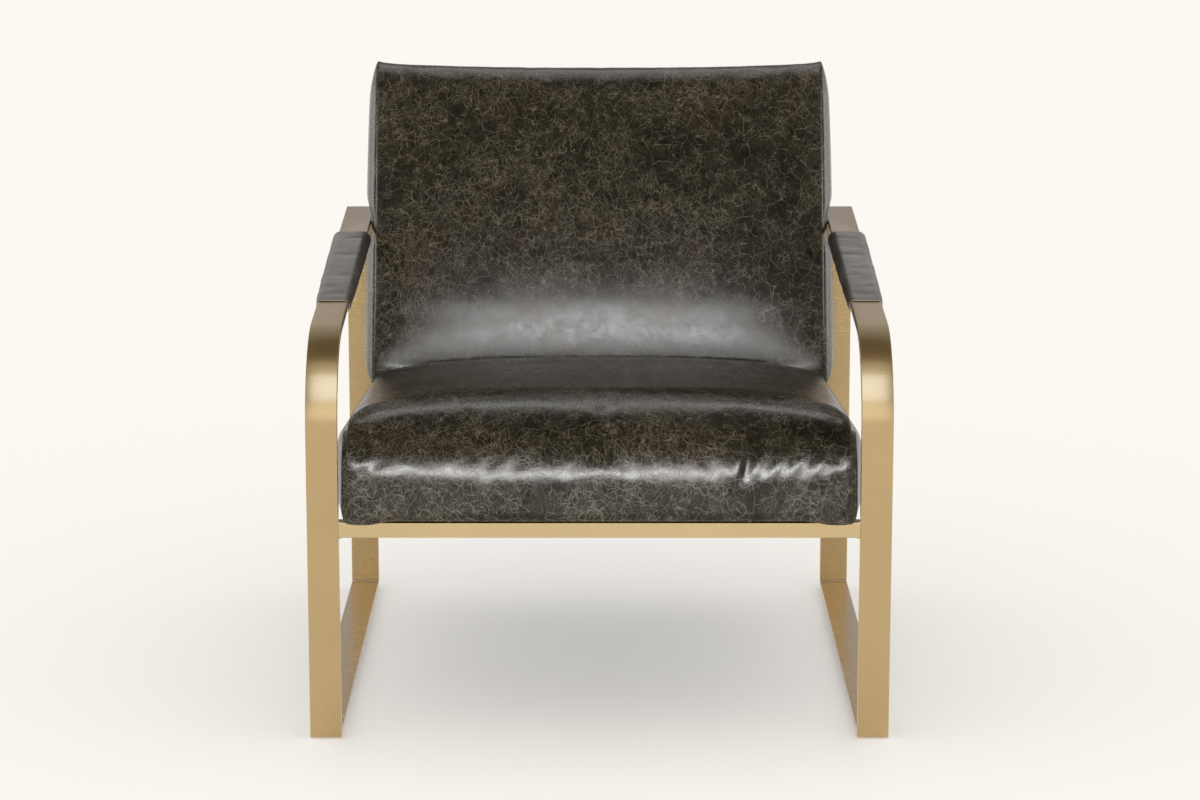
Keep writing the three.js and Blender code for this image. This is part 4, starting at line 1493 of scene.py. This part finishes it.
# %% Finish the cushions
for item in (seat_cushion, back_cushion):
    bake_modifier(item, "SUBSURF", levels=1, render_levels=1)
    smooth_all(item)
belongs(
    seat_cushion,
    cushion_leather,
    "cushion_leather",
    "seat_cover",
    "seat_side_panel_left",
    "seat_side_panel_right",
    "seat_foam",
)
belongs(
    back_cushion,
    cushion_leather,
    "cushion_leather",
    "back_cover",
    "back_side_panel_left",
    "back_side_panel_right",
    "back_rear_panel",
    "back_foam",
)

# %% The stitch
STITCH_PITCH = 0.0049
STITCH_LENGTH = 0.0036
STITCH_WIDTH = 0.0009
STITCH_HEIGHT = 0.0007

stitch = new_primitive("uv_sphere", "stitch", segments=6, ring_count=6, radius=1)
for vertex in stitch.data.vertices:
    shape_x, shape_y, shape_z = vertex.co.z, vertex.co.x, vertex.co.y
    vertex.co.x = shape_x * STITCH_LENGTH / 2
    vertex.co.y = shape_y * STITCH_WIDTH / 2
    vertex.co.z = (shape_z - shape_x**2) * STITCH_HEIGHT / 2
stitch_points = read_points(stitch.data)
stitch_faces = [list(polygon.vertices) for polygon in stitch.data.polygons]
bpy.data.objects.remove(stitch)
print("a stitch has", len(stitch_faces), "faces")

# %% Sew a row of stitches


def surface_of(item):
    points = read_points(item.data)
    faces = [list(polygon.vertices) for polygon in item.data.polygons]
    return BVHTree.FromPolygons([Vector(point) for point in points], faces)


def longest_run(points, shown):
    """The unbroken stretch of a closed line where shown is true."""
    if shown.all():
        return points
    start = next(i for i in range(len(points)) if shown[i] and not shown[i - 1])
    run = []
    for step in range(len(points)):
        place = (start + step) % len(points)
        if not shown[place]:
            break
        run.append(points[place])
    return np.array(run)


def sew_row(name, line, surface, finish, slot):
    """Copies of the stitch along a line, each laid on the surface under it."""
    lengths = np.linalg.norm(np.diff(line, axis=0), axis=1)
    track = np.concatenate(([0], np.cumsum(lengths)))
    places = np.arange(STITCH_PITCH / 2, track[-1], STITCH_PITCH)
    centres = np.column_stack([np.interp(places, track, line[:, axis]) for axis in range(3)])
    ahead = np.column_stack([np.interp(places + 0.001, track, line[:, axis]) for axis in range(3)])
    points, faces = [], []
    for centre, following in zip(centres, ahead):
        near, normal, _, _ = surface.find_nearest(Vector(centre))
        forward = Vector(following) - Vector(centre)
        forward = (forward - normal * forward.dot(normal)).normalized()
        aside = normal.cross(forward)
        start = len(points)
        for x, y, z in stitch_points:
            points.append(near + forward * x + aside * y + normal * (z + STITCH_HEIGHT * 0.25))
        faces.extend([[start + index for index in face] for face in stitch_faces])
    item = mesh_object(name, points, faces)
    faces_out(item)
    smooth_all(item)
    return belongs(item, finish, slot)


seat_surface = surface_of(seat_cushion)
back_surface = surface_of(back_cushion)
print("a row has a stitch every", STITCH_PITCH * 1000, "mm")

# %% Rows along the side seams
# The seat's rows end before the back cushion, and the back's rows start above the seat
SEAT_ROW_END = 0.505
BACK_ROW_START = 0.035

stitch_rows = []
for side, seat_row, back_row in zip(("left", "right"), seat_rows, back_rows):
    above_base = seat_row[:, 2] > SEAT_ORIGIN[1] + 0.004
    shown = above_base & (seat_row[:, 1] < SEAT_ORIGIN[0] + SEAT_ROW_END)
    line = longest_run(seat_row, shown)
    stitch_rows.append(
        sew_row(f"seat_{side}_topstitch", line, seat_surface, thread, "cushion_leather")
    )
    along_depth, _ = upright(BACK_ORIGIN, BACK_RECLINE, back_row)
    before_rear = along_depth < BACK_THICKNESS - 0.010
    shown = before_rear & (back_row[:, 2] > BACK_ORIGIN[1] + BACK_ROW_START)
    line = longest_run(back_row, shown)
    stitch_rows.append(
        sew_row(f"back_{side}_topstitch", line, back_surface, thread, "cushion_leather")
    )

# %% The row round the back's rear panel
REAR_SEAM_MARGIN = 0.011
REAR_SEAM_LOW = 0.050
REAR_SEAM_BELOW_TOP = 0.020

rear_side = HALF_SEAM - REAR_SEAM_MARGIN
rear_low, rear_high = REAR_SEAM_LOW, BACK_HEIGHT - REAR_SEAM_BELOW_TOP
rear_outline = np.concatenate(
    (
        straight((-rear_side, rear_low), (-rear_side, rear_high), 60),
        straight((-rear_side, rear_high), (rear_side, rear_high), 80),
        straight((rear_side, rear_high), (rear_side, rear_low), 60),
    )
)
rear_depth = np.full(len(rear_outline), BACK_THICKNESS)
rear_line = in_place(
    BACK_ORIGIN, BACK_RECLINE, rear_outline[:, 0], rear_depth, rear_outline[:, 1]
)
stitch_rows.append(
    sew_row("back_rear_topstitch", rear_line, back_surface, thread, "cushion_leather")
)
print("stitches in each row:", [len(item.data.polygons) // len(stitch_faces) for item in stitch_rows])

# %% [markdown]
# ## Arm sleeves
# A strip of the smoother leather is wrapped over a thin pad round each arm and closed underneath. It is
# thin at the front, fuller towards the rear, with soft rounded edges and a pale cut edge at each end.

# %% Sizes of a sleeve and a rectangle with soft corners
SLEEVE_START = 0.208
SLEEVE_END = 0.547
SLEEVE_WALL = 0.0012
SLEEVE_STATIONS = 72
SLEEVE_AROUND = 64
SLEEVE_FULLNESS = 0.0021
PAD_FRONT = 0.0006
PAD_GROWTH = 0.0025
END_ROUNDING = 0.007
TOP_CROWN = 0.0009
UNDER_CROWN = 0.0008
EDGE_DROOP = 0.0026
CLOSING_DEPTH = 0.0007
CLOSING_WIDTH = 0.0013
CREASE_WIDTH = 0.007


def rounded_rectangle(half_width, half_height, radius, count):
    """A closed line with soft corners, as points of (sideways, up)."""
    per_side = count // 4
    line = []
    corners = ((1, 1, 0), (-1, 1, 90), (-1, -1, 180), (1, -1, 270))
    for sign_x, sign_y, start in corners:
        centre = (sign_x * (half_width - radius), sign_y * (half_height - radius))
        line.append(arc(centre, (radius, radius), start, start + 90, per_side))
    closed = np.concatenate(line)
    following = np.roll(closed, -1, axis=0)
    lengths = np.linalg.norm(following - closed, axis=1)
    track = np.concatenate(([0], np.cumsum(lengths)))
    wanted = np.linspace(0, track[-1], count, endpoint=False)
    full = np.concatenate((closed, closed[:1]))
    return np.column_stack([np.interp(wanted, track, full[:, axis]) for axis in range(2)])


print("a sleeve is", round(SLEEVE_END - SLEEVE_START, 3), "m long")

# %% One section of a sleeve
# Soft creases across a sleeve: place along the arm, depth, and where across it the crease is deepest
SLEEVE_CREASES = (
    (0.234, 0.0012, 0.2),
    (0.262, 0.0007, -0.5),
    (0.318, 0.0009, 0.6),
    (0.352, 0.0005, -0.3),
    (0.421, 0.0009, 0.3),
    (0.455, 0.0005, -0.6),
    (0.506, 0.0012, 0.5),
)


def sleeve_line(depth, outer, inward):
    """One section of the sleeve as points of (sideways, up). The outer one is soft and creased."""
    share = (depth - SLEEVE_START) / (SLEEVE_END - SLEEVE_START)
    to_end = np.clip((SLEEVE_END - depth) / END_ROUNDING, 0, 1)
    end_round = 1 - math.sqrt(1 - (1 - to_end) ** 2)
    pad = (PAD_FRONT + PAD_GROWTH * share) * (1 - 0.5 * end_round)
    grown = pad + (SLEEVE_WALL if outer else 0.0)
    if outer:
        grown += SLEEVE_FULLNESS * (1 - math.exp(-(depth - SLEEVE_START) / 0.030))
    half_width = BAR_WIDTH / 2 + grown
    half_height = BAR_THICKNESS / 2 + grown
    corner = half_height * 0.95 if outer else min(half_height * 0.95, grown * 3.2)
    line = rounded_rectangle(half_width, half_height, corner, SLEEVE_AROUND)
    if not outer:
        return line
    across, rise = line[:, 0], line[:, 1]
    towards = across * inward / half_width
    across_share = np.clip(np.abs(across) / half_width, 0, 1)
    softness = 1 - across_share**2
    top = rise > 0
    crown = np.where(top, TOP_CROWN, -UNDER_CROWN) * softness * (0.4 + 0.6 * share)
    inner_side = smooth_rise(towards, 0.55, 0.98)
    droop = np.where(top, 0.0, EDGE_DROOP * math.exp(-share * 3.2) + 0.0006) * inner_side
    groove = np.where(top, 0.0, CLOSING_DEPTH) * np.exp(-((across / CLOSING_WIDTH) ** 2))
    dents = sum(
        size
        * np.exp(-(((depth - place - 0.006 * towards * math.sin(place * 90)) / CREASE_WIDTH) ** 2))
        * np.exp(-(((towards - middle) / 0.75) ** 2))
        for place, size, middle in SLEEVE_CREASES
    )
    uneven = np.array(
        [
            0.00060 * noise.noise(Vector((x * 34 + inward * 7, depth * 30, z * 60)))
            + 0.00030 * noise.noise(Vector((x * 90, depth * 95 + inward * 3, z * 90)))
            for x, z in line
        ]
    )
    lift = crown - droop + groove
    swell = (uneven - dents) * min(to_end + 0.2, 1.0)
    length = np.linalg.norm(line / (half_width, half_height), axis=1)
    outward = line / (half_width, half_height) / length[:, None]
    moved = line + outward * np.maximum(swell, -SLEEVE_WALL * 0.9)[:, None]
    moved[:, 1] += lift
    return moved


print("creases of a sleeve:", len(SLEEVE_CREASES))

# %% Wrap the arms


def wrap_arm(side):
    low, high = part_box(f"{side}_arm_bar")
    middle_x = (low.x + high.x) / 2
    inward = 1 if side == "left" else -1
    slope_y, slope_z = math.cos(ARM_SLOPE), math.sin(ARM_SLOPE)
    points, faces, loops = [], [], []
    ends = np.array([0, 0.0008, 0.002, 0.004])
    depths = np.concatenate(
        (
            SLEEVE_START + ends,
            np.linspace(SLEEVE_START + 0.008, SLEEVE_END - 0.008, SLEEVE_STATIONS),
            SLEEVE_END - ends[::-1],
        )
    )
    for outer in (True, False):
        for depth in depths if outer else depths[::-1]:
            centre_y = leg_front_y + depth + slope_z * BAR_THICKNESS / 2
            centre_z = arm_top_front + depth * math.tan(ARM_SLOPE) - slope_y * BAR_THICKNESS / 2
            start = len(points)
            for across, rise in sleeve_line(depth, outer, inward):
                points.append(
                    (middle_x + across, centre_y - rise * slope_z, centre_z + rise * slope_y)
                )
            loops.append(list(range(start, start + SLEEVE_AROUND)))
    cut_faces = []
    for place, (first, second) in enumerate(zip(loops, loops[1:] + loops[:1])):
        if place in (len(depths) - 1, 2 * len(depths) - 1):
            cut_faces.extend(range(len(faces), len(faces) + SLEEVE_AROUND))
        for here in range(SLEEVE_AROUND):
            after = (here + 1) % SLEEVE_AROUND
            faces.append((first[here], first[after], second[after], second[here]))
    item = mesh_object(f"{side}_arm_wrap", points, faces)
    item.data.materials.append(arm_leather)
    item.data.materials.append(raw_edge)
    for place in cut_faces:
        item.data.polygons[place].material_index = 1
    faces_out(item)
    for polygon in item.data.polygons:
        polygon.use_smooth = polygon.material_index == 0
    belongs(item, arm_leather, "arm_leather", f"{side}_arm_sleeve", f"{side}_arm_pad")
    under = [
        (
            middle_x,
            leg_front_y + depth,
            arm_top_front + depth * math.tan(ARM_SLOPE) - BAR_THICKNESS - 0.005,
        )
        for depth in depths
    ]
    sew_row(f"{side}_arm_underseam", np.array(under), surface_of(item), thread, "arm_leather")
    return item


arm_wraps = {side: wrap_arm(side) for side in ("left", "right")}
print("arm wraps:", [len(item.data.polygons) for item in arm_wraps.values()])
